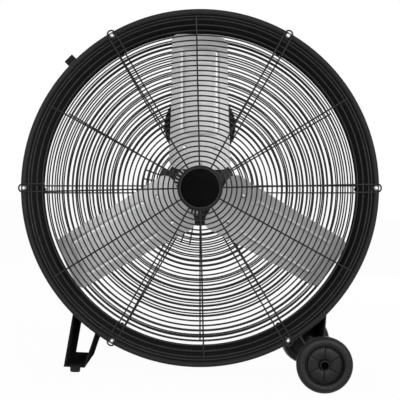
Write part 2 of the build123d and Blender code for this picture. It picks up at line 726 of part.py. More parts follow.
leg_left_top = (LEG_LEFT + LEG_LEFT_LEAN * LEG_REACH, FOOT_HEIGHT + LEG_REACH)
leg_right_top = (LEG_RIGHT + LEG_RIGHT_LEAN * LEG_REACH, FOOT_HEIGHT + LEG_REACH)
left_at = wall_angle((LEG_LEFT, FOOT_HEIGHT), leg_left_top)
right_at = wall_angle((LEG_RIGHT, FOOT_HEIGHT), leg_right_top)
leg_spans = [
    (left_at - FLANGE_ANGLE, left_at + FLANGE_LAP),
    (right_at - FLANGE_LAP, right_at + FLANGE_ANGLE),
]
with BuildPart() as leg_bracket:
    with BuildSketch(facing(STRAP_WIDTH / 2, 0, 0)):
        with BuildLine():
            Polyline(leg_left_top, (LEG_LEFT, FOOT_HEIGHT), (LEG_RIGHT, FOOT_HEIGHT), leg_right_top)
            offset(amount=STRAP_SHEET, side=Side.LEFT)
        make_face()
    extrude(amount=STRAP_WIDTH)
    with BuildSketch(facing(STRAP_WIDTH)):
        Circle(wall + SEAT)
    extrude(amount=2 * STRAP_WIDTH, mode=Mode.SUBTRACT)
    extrude(flanges(leg_spans), amount=STRAP_WIDTH)
leg_bracket.part.label = "leg_bracket"
export_step(leg_bracket.part, "parts/leg_bracket.step")

foot_x = (LEG_LEFT + LEG_RIGHT) / 2
foot_y = STRAP_WIDTH / 2 - FOOT_INSET
with BuildPart() as rubber_feet:
    with BuildSketch(Plane.XY):
        with Locations((foot_x, -foot_y), (foot_x, foot_y)):
            RegularPolygon(FOOT_RADIUS, 16)
    extrude(amount=FOOT_HEIGHT)
rubber_feet.part.label = "rubber_feet"
export_step(rubber_feet.part, "parts/rubber_feet.step")

# ---- Axle bracket ---------------------------------------------------------------------------------
cradle = AXLE_RADIUS + AXLE_SEAT
with BuildSketch(facing(STRAP_WIDTH / 2, 0, 0)) as vee_inside:
    with Locations((WHEEL_X, WHEEL_RADIUS)):
        Circle(cradle)
    with BuildLine():
        Line(VEE_OUTER, VEE_INNER)
    make_hull()
with BuildSketch(facing(STRAP_WIDTH / 2, 0, 0)) as vee_outside:
    add(vee_inside.sketch_local)
    offset(amount=STRAP_SHEET)
with BuildSketch(facing(STRAP_WIDTH / 2, 0, 0)) as web_opening:
    add(vee_inside.sketch_local)
    with Locations((WHEEL_X, WEB_BOTTOM / 2)):
        Rectangle(WEB_BOTTOM, WEB_BOTTOM, mode=Mode.INTERSECT)
outer_at = wall_angle((WHEEL_X + cradle, WHEEL_RADIUS), VEE_OUTER)
inner_at = wall_angle((WHEEL_X - cradle, WHEEL_RADIUS), VEE_INNER)
axle_spans = [
    (outer_at - VEE_FLANGE_ANGLE, outer_at + FLANGE_LAP),
    (inner_at - VEE_FLANGE_ANGLE, inner_at + FLANGE_LAP),
]
with BuildPart() as axle_bracket:
    extrude(vee_outside.sketch, amount=STRAP_WIDTH)
    inside = vee_inside.sketch.moved(Location((0, -STRAP_SHEET, 0)))
    extrude(inside, amount=STRAP_WIDTH, mode=Mode.SUBTRACT)
    extrude(web_opening.sketch, amount=STRAP_WIDTH, mode=Mode.SUBTRACT)
    with BuildSketch(facing(STRAP_WIDTH)):
        Circle(wall + SEAT)
    extrude(amount=2 * STRAP_WIDTH, mode=Mode.SUBTRACT)
    extrude(flanges(axle_spans), amount=STRAP_WIDTH)
axle_bracket.part.label = "axle_bracket"
export_step(axle_bracket.part, "parts/axle_bracket.step")

with BuildPart() as bracket_bolts:
    for start, end in leg_spans + axle_spans:
        for depth in (-STRAP_WIDTH / 2 + BOLT_INSET, STRAP_WIDTH / 2 - BOLT_INSET):
            angle = (start + end) / 2
            with BuildSketch(outward(angle, DRUM_BORE - BOLT_TAIL, depth)):
                RegularPolygon(BOLT_SHANK, 4)
            extrude(amount=BOLT_TAIL + DRUM_SHEET + STRAP_SHEET + BOLT_HEIGHT)
            with BuildSketch(outward(angle, wall + SEAT + STRAP_SHEET, depth)):
                RegularPolygon(BOLT_HEAD, 6)
            extrude(amount=BOLT_HEIGHT)
bracket_bolts.part.label = "bracket_bolts"
export_step(bracket_bolts.part, "parts/bracket_bolts.step")

# ---- Axle and wheels --------------------------------------------------------------------------
wheel_mid = WHEEL_TRACK / 2
boss_half = WHEEL_WIDTH / 2 - 3
axle_end = wheel_mid + boss_half + AXLE_PLAY
with BuildPart() as axle:
    with BuildSketch(facing(axle_end, WHEEL_X, WHEEL_RADIUS)):
        Circle(AXLE_RADIUS)
    extrude(amount=2 * axle_end)
axle.part.label = "axle"
export_step(axle.part, "parts/axle.step")

with BuildPart() as axle_caps:
    for back in (-axle_end, axle_end + AXLE_CAP_HEIGHT):
        with BuildSketch(facing(back, WHEEL_X, WHEEL_RADIUS)):
            RegularPolygon(AXLE_CAP, 16)
        extrude(amount=AXLE_CAP_HEIGHT)
axle_caps.part.label = "axle_caps"
export_step(axle_caps.part, "parts/axle_caps.step")

spacer_end = wheel_mid - boss_half - AXLE_PLAY
with BuildPart() as axle_spacers:
    for back in (-STRAP_WIDTH / 2, spacer_end):
        with BuildSketch(facing(back, WHEEL_X, WHEEL_RADIUS)):
            RegularPolygon(SPACER_RADIUS, 12)
            flat_hole(AXLE_RADIUS + SEAT, 12)
        extrude(amount=spacer_end - STRAP_WIDTH / 2)
axle_spacers.part.label = "axle_spacers"
export_step(axle_spacers.part, "parts/axle_spacers.step")

wheel_bore = (AXLE_RADIUS + RUN_FIT) / cos(radians(180 / WHEEL_SIDES))
tyre_half = WHEEL_WIDTH / 2
disc_half = boss_half - 1
for wheel, middle, front in (("front", -wheel_mid, -1), ("rear", wheel_mid, 1)):
    disc_section = [
        (wheel_bore, boss_half),
        (WHEEL_BOSS, boss_half),
        (WHEEL_BOSS, disc_half - DISC_RECESS),
        (TYRE_BORE, disc_half - DISC_RECESS),
        (TYRE_BORE, -disc_half),
        (wheel_bore, -boss_half),
    ]
    placed = [(r, middle + front * depth) for r, depth in disc_section]
    with BuildPart() as wheel_disc:
        add(many_sided(placed, WHEEL_SIDES, WHEEL_X, WHEEL_RADIUS, start=-90))
    wheel_disc.part.label = f"{wheel}_wheel_disc"
    export_step(wheel_disc.part, f"parts/{wheel}_wheel_disc.step")

    tyre_section = [
        (TYRE_BORE + SEAT, tyre_half - TYRE_DISH),
        (WHEEL_RADIUS - TREAD_BEVEL, tyre_half),
        (WHEEL_RADIUS, tyre_half - TREAD_BEVEL),
        (WHEEL_RADIUS - TREAD_DRAFT, TREAD_BEVEL - tyre_half),
        (WHEEL_RADIUS - TREAD_DRAFT - TREAD_BEVEL, -tyre_half),
        (TYRE_BORE + SEAT, TYRE_DISH - tyre_half),
    ]
    placed = [(r, middle + front * depth) for r, depth in tyre_section]
    with BuildPart() as tyre:
        add(many_sided(placed, WHEEL_SIDES, WHEEL_X, WHEEL_RADIUS, start=-90))
    tyre.part.label = f"{wheel}_tyre"
    export_step(tyre.part, f"parts/{wheel}_tyre.step")
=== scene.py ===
import bmesh
import bpy
import json
from contextlib import contextmanager
from itertools import product
from math import asin, cos, degrees, hypot, pi, radians, sin, sqrt, tau
from mathutils import Matrix, Vector


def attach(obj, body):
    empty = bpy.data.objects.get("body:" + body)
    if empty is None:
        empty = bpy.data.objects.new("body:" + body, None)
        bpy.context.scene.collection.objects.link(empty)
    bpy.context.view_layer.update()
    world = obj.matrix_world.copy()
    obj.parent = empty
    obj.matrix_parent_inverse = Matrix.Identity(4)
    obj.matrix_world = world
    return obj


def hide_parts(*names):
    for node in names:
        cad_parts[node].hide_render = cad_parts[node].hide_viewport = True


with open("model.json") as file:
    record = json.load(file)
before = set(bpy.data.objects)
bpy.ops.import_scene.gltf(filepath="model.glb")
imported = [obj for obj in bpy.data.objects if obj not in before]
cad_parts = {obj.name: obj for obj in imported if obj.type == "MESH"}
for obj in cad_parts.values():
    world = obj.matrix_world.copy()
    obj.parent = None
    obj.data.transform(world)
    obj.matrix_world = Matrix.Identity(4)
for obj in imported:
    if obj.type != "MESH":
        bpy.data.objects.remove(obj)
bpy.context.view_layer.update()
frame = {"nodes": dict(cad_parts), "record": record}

# Sizes are in millimetres, as on a maker's drawing, and scaled as meshes are made.
# A section is a list of (radius, depth), with the radius of a rounded corner as a third number.
MM = 0.001
HUB = 357.0  # hub axis above the floor
CLOCKING = 2.75  # turn of the guards about the hub axis, degrees
ORIGIN, HUB_POINT, AXLE_POINT = (0, 0, 0), (0, 0, HUB), (237.7, 0, 51.0)
AXIS, UP = Vector((0, 1, 0)), Vector((0, 0, 1))
FRONT, REAR = (0, -1, 0), (0, 1, 0)
SAME_POINT = 1e-6  # points nearer than this are one, in metres


# ---- Nodes -----------------------------------
class Nodes:
    """A node tree, and short ways to add to it."""

    def __init__(self, tree):
        self.tree = tree

    def add(self, kind, options=None, **inputs):
        """Adds a node. Its inputs are sockets to link or plain values, with _ for a space."""
        node = self.tree.nodes.new(kind)
        for key, value in (options or {}).items():
            setattr(node, key, value)
        for key, value in inputs.items():
            number = key[1:]
            socket = node.inputs[int(number) if number.isdigit() else key.replace("_", " ")]
            if isinstance(value, bpy.types.NodeSocket):
                self.tree.links.new(value, socket)
            else:
                socket.default_value = value
        return node.outputs

    def maths(self, operation, first, second):
        return self.add("ShaderNodeMath", {"operation": operation}, _0=first, _1=second)[0]


# ---- Finishes --------------------------------
class Finish(Nodes):
    """A material with the few node steps that the finishes share."""

    def __init__(self, name, colour, roughness, metallic=0.0, specular=0.5):
        self.material = bpy.data.materials.new(name)
        self.material.use_nodes = True
        self.material.diffuse_color = (*colour, 1.0)
        super().__init__(self.material.node_tree)
        self.shader = self.tree.nodes["Principled BSDF"].inputs
        self.shader["Base Color"].default_value = (*colour, 1.0)
        self.shader["Roughness"].default_value = roughness
        self.shader["Metallic"].default_value = metallic
        self.shader["Specular IOR Level"].default_value = specular
        self.place = self.add("ShaderNodeTexCoord")["Object"]

    def drive(self, socket, source):
        """Lets a source set one of the shader's values."""
        self.tree.links.new(source, self.shader[socket])

    def noise(self, scale, detail=3.0, stretch=(1, 1, 1), source=None):
        """Noise over the object's own coordinates, in waves per metre."""
        place = self.add("ShaderNodeMapping", Vector=source or self.place, Scale=stretch)[0]
        return self.add("ShaderNodeTexNoise", Vector=place, Scale=scale, Detail=detail)["Fac"]

    def between(self, source, low, high, start=0.35, end=0.65):
        """Spreads a source over a range of values."""
        return self.add(
            "ShaderNodeMapRange", Value=source, From_Min=start, From_Max=end, To_Min=low,
            To_Max=high,
        )["Result"]

    def colours(self, source, low, high):
        """Runs the base colour from one tone to another over a source."""
        ramp = self.tree.nodes.new("ShaderNodeValToRGB")
        for element, start, tone in zip(ramp.color_ramp.elements, (0.3, 0.7), (low, high)):
            element.position = start
            element.color = (*tone, 1.0)
        self.tree.links.new(source, ramp.inputs["Fac"])
        self.drive("Base Color", ramp.outputs["Color"])

    def rough(self, source, low, high):
        self.drive("Roughness", self.between(source, low, high))

    def bump(self, source, depth, strength):
        """Raises the surface by a source, its depth in metres."""
        relief = self.add("ShaderNodeBump", Height=source, Distance=depth, Strength=strength)
        self.drive("Normal", relief["Normal"])


MATT_FADE = 0.002  # metres over which a matt inside gives way to the coat's gloss


def painted_sheen_inside(finish, specular, radius, tone):
    """Takes the gloss off a coat inside a radius about the hub axis and gives it a lighter tone
    there: painted sheen in place of the glancing reflection.
    """
    fade = (radius * MM, radius * MM + MATT_FADE)
    across = finish.add(
        "ShaderNodeMapping", Vector=finish.place, Location=(0, 0, -HUB * MM), Scale=(1, 0, 1)
    )[0]
    reach = finish.add("ShaderNodeVectorMath", {"operation": "LENGTH"}, _0=across)["Value"]
    finish.drive("Specular IOR Level", finish.between(reach, 0.0, specular, *fade))
    outer = finish.between(reach, 0.0, 1.0, *fade)
    coat = finish.shader["Base Color"].links[0].from_socket
    # The lighter matt tone inside is painted sheen on the same paint, standing in for its glancing
    # reflection.
    matt = (tone, tone, tone * 1.03, 1.0)
    both = finish.add("ShaderNodeMix", {"data_type": "RGBA"}, Factor=outer, A=matt, B=coat)
    finish.drive("Base Color", both["Result"])


def powder_coat(name, tone, roughness=0.42, specular=0.35, inside=None):
    """Black powder coat: a fine orange-peel skin with a slightly uneven gloss."""
    finish = Finish(name, (tone, tone, tone * 1.03), roughness, specular=specular)
    finish.colours(finish.noise(7, 4), (tone * 0.85,) * 3, (tone * 1.15, tone * 1.15, tone * 1.2))
    # Inside the radius: painted sheen, a lighter matt tone in place of the coat's gloss.
    if inside:
        painted_sheen_inside(finish, specular, *inside)
    finish.rough(finish.noise(45, 4), roughness - 0.05, roughness + 0.07)
    finish.bump(finish.noise(850, 2), 0.00012, 0.35)
    return finish.material


def moulded(name, tone, roughness=0.5, grain=1600, depth=0.00008, specular=0.35):
    """Moulded plastic or rubber with an even fine grain."""
    finish = Finish(name, (tone, tone, tone * 1.02), roughness, specular=specular)
    finish.colours(finish.noise(22, 5), (tone * 0.8,) * 3, (tone * 1.2,) * 3)
    finish.rough(finish.noise(90, 3), roughness - 0.06, roughness + 0.08)
    finish.bump(finish.noise(grain, 2), depth, 0.4)
    return finish.material


def plated(name, colour, roughness=0.3, streak=(1, 1, 1), scale=420):
    """Plated or bare steel with fine lines along one direction."""
    finish = Finish(name, colour, roughness, metallic=1.0)
    darker = tuple(channel * 0.82 for channel in colour)
    finish.colours(finish.noise(60, 4), darker, colour)
    lines = finish.noise(scale, 3, streak)
    finish.rough(lines, roughness - 0.07, roughness + 0.1)
    finish.bump(lines, 0.00003, 0.3)
    return finish.material


def shade_darkened_copper():
    """Copper turns running round the motor's axis, darkened almost to black: painted shade for the
    dark inside of the motor can.
    """
    finish = Finish("varnished_copper", (0.03, 0.015, 0.01), 0.35, metallic=0.4)
    turns = finish.noise(900, 1, (1, 0.15, 1))
    finish.colours(turns, (0.014, 0.007, 0.005), (0.04, 0.018, 0.01))
    finish.bump(turns, 0.0004, 0.7)
    return finish.material


def mill_aluminium():
    """Rolled aluminium sheet: faint smudges, and mill lines from root to tip by its own map."""
    finish = Finish("mill_aluminium", (0.5, 0.5, 0.5), 0.4, metallic=0.6)
    sheet = finish.add("ShaderNodeUVMap", {"uv_map": "sheet"})["UV"]
    lines = finish.noise(1, 2, (3, 900, 1), source=sheet)
    finish.colours(finish.noise(9, 5), (0.52, 0.52, 0.525), (0.6, 0.6, 0.6))
    finish.rough(lines, 0.38, 0.54)
    finish.bump(lines, 0.00002, 0.35)
    return finish.material


# The duct's inside is matt and lighter than its outside, in the same paint: painted sheen in place
# of its glancing reflection.
duct_coat = powder_coat("duct_powder_coat", 0.012, 0.42, 0.08, inside=(321.0, 0.023))
wire_coat = powder_coat("wire_powder_coat", 0.010, 0.38, 0.16)
frame_coat = powder_coat("bracket_powder_coat", 0.017, 0.5, 0.0)
# The axle strap has the frame's black coat made lighter: painted light for the strap in the drum's
# shade.
strap_painted_fill_coat = powder_coat("axle_strap_powder_coat", 0.026, 0.5, 0.05)
motor_coat = powder_coat("motor_enamel", 0.010, 0.38, 0.2)
badge_plain = moulded("badge_satin_plastic", 0.0018, 0.35, specular=0.008)
cap_ring = moulded("cap_bevel_plastic", 0.014, 0.42, specular=0.26)
control_plastic = moulded("control_box_plastic", 0.008, 0.46, 1100, specular=0.15)
knob_plastic = moulded("knob_plastic", 0.012, 0.38)
wheel_plastic = moulded("wheel_plastic", 0.0085, 0.4, specular=0.12)
end_cap_plastic = moulded("end_cap_plastic", 0.001, 0.5, specular=0.0)
tyre_rubber = moulded("tyre_rubber", 0.009, 0.42, 900, 0.0001, specular=0.14)
foot_rubber = moulded("foot_rubber", 0.010, 0.6, 700, 0.0001, specular=0.15)
grey_plastic = moulded("capacitor_plastic", 0.012, 0.45)
mark_paint = moulded("dial_mark_paint", 0.62, 0.5)
# Pale tone of the film in the motor's vents: a painted highlight.
coil_film = moulded("coil_film", 0.8, 0.5, 300, specular=0.3)
zinc = plated("zinc_plate", (0.68, 0.68, 0.67), 0.3)
rivet_steel = plated("rivet_steel", (0.72, 0.72, 0.72), 0.28)
spider_steel = plated("pressed_hub_steel", (0.33, 0.33, 0.34), 0.38)
shaft_steel = plated("ground_steel", (0.5, 0.5, 0.52), 0.22, (1, 12, 1))
core_steel = plated("core_laminations", (0.2, 0.2, 0.21), 0.5, (1, 30, 1), 300)
axle_steel = powder_coat("axle_black_oxide", 0.02, 0.34, 0.4)
black_bolt = powder_coat("black_oxide_bolt", 0.024, 0.36, 0.4)
# The coils' copper is darkened: painted shade for the inside of the motor can.
copper, aluminium = shade_darkened_copper(), mill_aluminium()


# ---- Mesh making -----------------------------
@contextmanager
def editing(mesh):
    """A mesh opened for editing, and written back at the end."""
    grid = bmesh.new()
    grid.from_mesh(mesh)
    yield grid
    grid.to_mesh(mesh)
    grid.free()


def merge_points(grid, distance=SAME_POINT):
    bmesh.ops.remove_doubles(grid, verts=grid.verts, dist=distance)


def face_outwards(grid):
    bmesh.ops.recalc_face_normals(grid, faces=grid.faces)


def ease_edges(mesh, angle=32.0):
    """Smooth shading, with edges sharper than the angle kept crisp."""
    with editing(mesh) as grid:
        for face in grid.faces:
            face.smooth = True
        for edge in grid.edges:
            inner = len(edge.link_faces) == 2
            edge.smooth = inner and edge.calc_face_angle(0) < radians(angle)


def mesh_of(name, points, edges=(), faces=()):
    """A mesh from points in millimetres."""
    mesh = bpy.data.meshes.new(name)
    mesh.from_pydata([Vector(spot) * MM for spot in points], edges, faces)
    return mesh


def in_scene(name, data, material=None):
    """A new object for a mesh, a lamp or the camera's lens."""
    if material:
        data.materials.append(material)
    thing = bpy.data.objects.new(name, data)
    bpy.context.scene.collection.objects.link(thing)
    return thing


def from_grid(grid, name, material):
    """A new object from an edited grid."""
    mesh = bpy.data.meshes.new(name)
    grid.to_mesh(mesh)
    grid.free()
    return in_scene(name, mesh, material)


def piece(name, points, faces, material, outwards=True):
    """An object from points in millimetres; its faces are made to point outwards."""
    mesh = mesh_of(name, points, faces=faces)
    with editing(mesh) as grid:
        merge_points(grid)
        if outwards:
            face_outwards(grid)
    return in_scene(name, mesh, material)


# Faces over eight corners, made by three loops of two.
BOX_FACES = ((0, 1, 3, 2), (4, 6, 7, 5), (0, 4, 5, 1), (2, 3, 7, 6), (0, 2, 6, 4), (1, 5, 7, 3))


def block(name, xs, ys, zs, material):
    """A block between two values each way."""
    return piece(name, list(product(xs, ys, zs)), BOX_FACES, material)


def stacked(levels, count):
    """Faces of a closed stack of rings that have this count of points each."""
    faces = [tuple(range(count)), tuple(range((levels - 1) * count, levels * count))]
    for level in range(levels - 1):
        for n in range(count):
            a, b = level * count + n, level * count + (n + 1) % count
            faces.append((a, b, b + count, a + count))
    return faces


def put_away(*things):
    for thing in things:
        bpy.data.objects.remove(thing)


def join(first, *others):
    """Makes one piece of several."""
    with editing(first.data) as grid:
        for other in others:
            grid.from_mesh(other.data)
    put_away(*others)
    return first


def set_shape(thing):
    """Turns what the modifiers make into the piece's own mesh."""
    view = bpy.context.evaluated_depsgraph_get()
    mesh = bpy.data.meshes.new_from_object(thing.evaluated_get(view), depsgraph=view)
    thing.modifiers.clear()
    old = thing.data
    thing.data = mesh
    bpy.data.meshes.remove(old)
    return thing


def modified(thing, kind, **settings):
    """Gives a piece what one modifier makes of it."""
    modifier = thing.modifiers.new(kind.lower(), kind)
    for key, value in settings.items():
        setattr(modifier, key, value)
    return set_shape(thing)


def break_edges(thing, width, steps=2, angle=30.0):
    """Takes the sharpness off a piece's edges, as pressing, rolling or moulding leaves them."""
    modified(
        thing, "BEVEL", width=width * MM, segments=steps, limit_method="ANGLE",
        angle_limit=radians(angle),
    )
    ease_edges(thing.data)
    return thing


def fit(thing, body, slot, *nodes):
    """The finished piece rides on its body and stands for its nodes, which are hidden. The slot
    that names its finish is not used.
    """
    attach(thing, body)
    if nodes:
        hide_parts(*nodes)
    return thing


def polar(angle, radius):
    return (radius * cos(radians(angle)), radius * sin(radians(angle)))


def laid(angle, out, across):
    """The x and z of a point this far out from an axis at an angle, and this far across."""
    along, aside = polar(angle, 1.0), polar(angle + 90, 1.0)
    return along[0] * out + aside[0] * across, along[1] * out + aside[1] * across


def both_ways(half, middle=0.0):
    """A section made whole by the mirror image of its half."""
    return half + [(spot[0], 2 * middle - spot[1], *spot[2:]) for spot in reversed(half)]


def facing(section, front, middle=0.0):
    """A section turned to the front, -1, or to the rear, 1, about its middle."""
    return [(spot[0], middle + front * spot[1], *spot[2:]) for spot in section]


def band(radii, depths, corner):
    """Section of a plain band with rounded corners."""
    (inner, outer), (low, high) = radii, depths
    spots = ((inner, low), (outer, low), (outer, high), (inner, high))
    return [(*spot, corner) for spot in spots]


CORNER_SHARE = 0.48  # the most of a side that one rounded corner takes


def rounded(section, steps):
    """Rounds the corners of a section whose points carry a radius as a third number."""
    made = []
    for n, spot in enumerate(section):
        here = Vector(spot[:2])
        if len(spot) < 3:
            made.append(here)
            continue
        before = Vector(section[n - 1][:2]) - here
        after = Vector(section[(n + 1) % len(section)][:2]) - here
        reach = min(spot[2], before.length * CORNER_SHARE, after.length * CORNER_SHARE)
        start = here + before.normalized() * reach
        end = here + after.normalized() * reach
        for step in range(steps + 1):
            t = step / steps
            made.append(start.lerp(here, t).lerp(here.lerp(end, t), t))
    return made


def lathe(name, section, material, origin=HUB_POINT, axis=AXIS, steps=96, rounding=4):
    """Turns a section about an axis through the origin.

    A section that starts on the axis also ends on it, and any other is a closed ring.
    """
    line = rounded(section, rounding)
    side = axis.orthogonal().normalized()
    other = axis.cross(side)
    points, faces = [], []
    for step in range(steps):
        turn = tau * step / steps
        out = side * cos(turn) + other * sin(turn)
        points += [Vector(origin) + axis * spot[1] + out * spot[0] for spot in line]
    count = len(line)
    rows = count if section[0][0] else count - 1
    for step in range(steps):
        near, far = step * count, (step + 1) % steps * count
        for n in range(rows):
            m = (n + 1) % count
            faces.append((near + n, near + m, far + m, far + n))
    thing = piece(name, points, faces, material)
    ease_edges(thing.data)
    return thing


def copied(node):
    """A copy of a CAD node's mesh, its loose triangles joined."""
    grid = bmesh.new()
    grid.from_mesh(frame["nodes"][node].data)
    merge_points(grid)
    return grid


def solids_of(node):
    """The points of each loose solid of a CAD node, in millimetres and in the mesh's own order."""
    grid = copied(node)
    seen, groups = set(), []
    for first in grid.verts:
        if first in seen:
            continue
        seen.add(first)
        reach, group = [first], []
        while reach:
            vert = reach.pop()
            group.append(vert.co / MM)
            for edge in vert.link_edges:
                other = edge.other_vert(vert)
                if other not in seen:
                    seen.add(other)
                    reach.append(other)
        groups.append(group)
    grid.free()
    return groups


def refined(node, name, material, width, steps):
    """A copy of a plain CAD node with its edges broken, to stand in its place."""
    grid = copied(node)
    bmesh.ops.dissolve_limit(
        grid, angle_limit=radians(0.5), verts=grid.verts, edges=grid.edges, delimit={"NORMAL"}
    )
    return break_edges(from_grid(grid, name, material), width, steps)


# ---- Geometry Nodes trees --------------------
class Tree(Nodes):
    """A small Geometry Nodes tree with named inputs, the last of them its material."""

    def __init__(self, name, **inputs):
        super().__init__(bpy.data.node_groups.new(name, "GeometryNodeTree"))
        face = self.tree.interface
        kinds = {"Geometry": "Geometry", **inputs, "Material": "Material"}
        for label, kind in kinds.items():
            face.new_socket(label, in_out="INPUT", socket_type="NodeSocket" + kind)
        face.new_socket("Geometry", in_out="OUTPUT", socket_type="NodeSocketGeometry")
        self.given = self.tree.nodes.new("NodeGroupInput").outputs
        self.end = self.tree.nodes.new("NodeGroupOutput")

    def vector(self, x, y, z):
        return self.add("ShaderNodeCombineXYZ", X=x, Y=y, Z=z)[0]

    def circle(self, steps, radius):
        return self.add("GeometryNodeCurvePrimitiveCircle", Resolution=steps, Radius=radius)[0]

    def close(self, geometry):
        """Ends the tree: real geometry with the given material."""
        real = self.add("GeometryNodeRealizeInstances", Geometry=geometry)[0]
        smooth = self.add("GeometryNodeSetShadeSmooth", Geometry=real)[0]
        material = self.given["Material"]
        done = self.add("GeometryNodeSetMaterial", Geometry=smooth, Material=material)[0]
        self.tree.links.new(done, self.end.inputs[0])
        return self.tree


def grow(thing, tree, **values):
    """Runs a tree on a piece with these inputs and keeps the result as its mesh."""
    modifier = thing.modifiers.new("build", "NODES")
    modifier.node_group = tree
    inputs = [item for item in tree.interface.items_tree if item.in_out == "INPUT"]
    sockets = {item.name: item.identifier for item in inputs}
    for label, value in values.items():
        modifier[sockets[label]] = value
    thing.update_tag()
    set_shape(thing)
    thing.data.materials.clear()
    thing.data.materials.append(values["Material"])
    thing.data.polygons.foreach_set("material_index", [0] * len(thing.data.polygons))
    return thing


def ring_tree():
    """A ring of round wire on each seed point: the point's x is its radius, its y its depth."""
    tree = Tree("guard_rings", Wire="Float", Steps="Int", Sides="Int", Height="Float")
    given = tree.given
    spot = tree.add("ShaderNodeSeparateXYZ", Vector=tree.add("GeometryNodeInputPosition")[0])
    placed = tree.add(
        "GeometryNodeInstanceOnPoints", Points=given["Geometry"],
        Instance=tree.circle(given["Steps"], 1.0), Rotation=(pi / 2, 0, 0),
        Scale=tree.vector(spot["X"], spot["X"], spot["X"]),
    )[0]
    inwards = tree.maths("MULTIPLY", spot["X"], -1.0)
    shift = tree.vector(inwards, 0.0, given["Height"])
    centred = tree.add(
        "GeometryNodeTranslateInstances", Instances=placed, Translation=shift, Local_Space=False
    )[0]
    loops = tree.add("GeometryNodeRealizeInstances", Geometry=centred)[0]
    section = tree.circle(given["Sides"], given["Wire"])
    return tree.close(tree.add("GeometryNodeCurveToMesh", Curve=loops, Profile_Curve=section)[0])


def turned(tree, geometry):
    """Copies of a geometry turned about an axis along y through the given centre."""
    given = tree.given
    line = tree.add(
        "GeometryNodeMeshLine", Count=given["Copies"], Start_Location=given["Centre"],
        Offset=(0, 0, 0),
    )[0]
    share = tree.maths("DIVIDE", tree.add("GeometryNodeInputIndex")[0], given["Copies"])
    angle = tree.maths("MULTIPLY", share, tau)
    turn = tree.vector(0.0, angle, 0.0)
    return tree.add(
        "GeometryNodeInstanceOnPoints", Points=line, Instance=geometry, Rotation=turn
    )[0]


def wire_tree():
    """Wire bent along a drawn path, in copies turned about the centre."""
    tree = Tree("bent_wire", Wire="Float", Sides="Int", Copies="Int", Centre="Vector")
    given = tree.given
    path = tree.add("GeometryNodeMeshToCurve", Mesh=given["Geometry"])[0]
    section = tree.circle(given["Sides"], given["Wire"])
    wire = tree.add(
        "GeometryNodeCurveToMesh", Curve=path, Profile_Curve=section, Fill_Caps=True
    )[0]
    return tree.close(turned(tree, wire))


def copies_tree():
    """Copies of a small piece, drawn about the centre, turned round it."""
    tree = Tree("turned_copies", Copies="Int", Centre="Vector")
    return tree.close(turned(tree, tree.given["Geometry"]))


def fastener_tree():
    """One fastener on each seed point, along the seed's own direction and turned by chance."""
    tree = Tree("fasteners", Fastener="Object", Seed="Int")
    head = tree.add("GeometryNodeObjectInfo", Object=tree.given["Fastener"])["Geometry"]
    way = tree.add("GeometryNodeInputNamedAttribute", {"data_type": "FLOAT_VECTOR"}, Name="out")[0]
    stand = tree.add("FunctionNodeAlignRotationToVector", {"axis": "Z"}, Vector=way)[0]
    chance = tree.add(
        "FunctionNodeRandomValue", {"data_type": "FLOAT"}, _2=0.0, _3=tau,
        Seed=tree.given["Seed"],
    )[1]
    spin = tree.add("FunctionNodeAxisAngleToRotation", Axis=(0, 0, 1), Angle=chance)[0]
    both = tree.add(
        "FunctionNodeRotateRotation", {"rotation_space": "LOCAL"}, Rotation=stand, Rotate_By=spin
    )[0]
    placed = tree.add(
        "GeometryNodeInstanceOnPoints", Points=tree.given["Geometry"], Instance=head, Rotation=both
    )[0]
    return tree.close(placed)


RINGS, WIRES = ring_tree(), wire_tree()
COPIES, FASTENERS = copies_tree(), fastener_tree()


def copies_round(thing, count, centre, material):
    """Copies of a piece that was drawn about the centre, a point in millimetres."""
    centre = tuple(value * MM for value in centre)
    return grow(thing, COPIES, Copies=count, Centre=centre, Material=material)


def fasteners(name, head, places, seed=1):
    """Copies of a fastener head at (place, direction) pairs, each turned by chance."""
    thing = in_scene(name, mesh_of(name, [place for place, _ in places]))
    way = thing.data.attributes.new("out", "FLOAT_VECTOR", "POINT")
    for n, (_, out) in enumerate(places):
        way.data[n].vector = out
    grow(thing, FASTENERS, Fastener=head, Seed=seed, Material=head.data.materials[0])
    ease_edges(thing.data)
    return thing


# ---- CAD nodes that only need their edges broken 
EDGED = {  # node: piece, body, finish, width of the broken edge and its steps
    "capacitor_box": ("capacitor_case", "drum", grey_plastic, 0.8, 3),
    "stator_core": ("stator_stack", "drum", core_steel, 0.3, 1),
    "rotor_core": ("rotor_stack", "rotor", core_steel, 0.3, 1),
    "spider": ("pressed_hub", "rotor", spider_steel, 0.6, 2),
    "handle": ("carry_handle", "drum", frame_coat, 0.9, 3),
    "leg_bracket": ("folded_leg", "drum", frame_coat, 0.5, 2),
    "axle_bracket": ("folded_axle_strap", "drum", strap_painted_fill_coat, 0.5, 2),
    "cable_gland": ("ribbed_gland", "drum", control_plastic, 0.6, 2),
    "speed_switch": ("switch_block", "drum", grey_plastic, 0.6, 2),
}
slot_of = {row["node"]: row["material_slot"] for row in frame["record"]["subparts"]}
for node, (name, body, finish, width, steps) in EDGED.items():
    fit(refined(node, name, finish, width, steps), body, slot_of[node], node)

# ---- Duct ------------------------------------
WALL, DRUM_HALF = 321.5, 110.0
BEAD_RADIUS, BEAD_TURN, BEAD_STEPS = 5.0, 314.4, 20
BEAD_AT = WALL + BEAD_RADIUS - 1.0  # radius of the bead's middle


def rolled_duct():
    """Sheet duct whose two edges are rolled outwards into a round bead."""
    bead = []
    for step in range(BEAD_STEPS + 1):
        out, back = polar(180 + BEAD_TURN * step / BEAD_STEPS, BEAD_RADIUS)
        bead.append((BEAD_AT + out, BEAD_RADIUS - DRUM_HALF + back))
    return lathe("duct", both_ways(bead), duct_coat, steps=240)


fit(rolled_duct(), "drum", "drum_paint", "drum_shell")

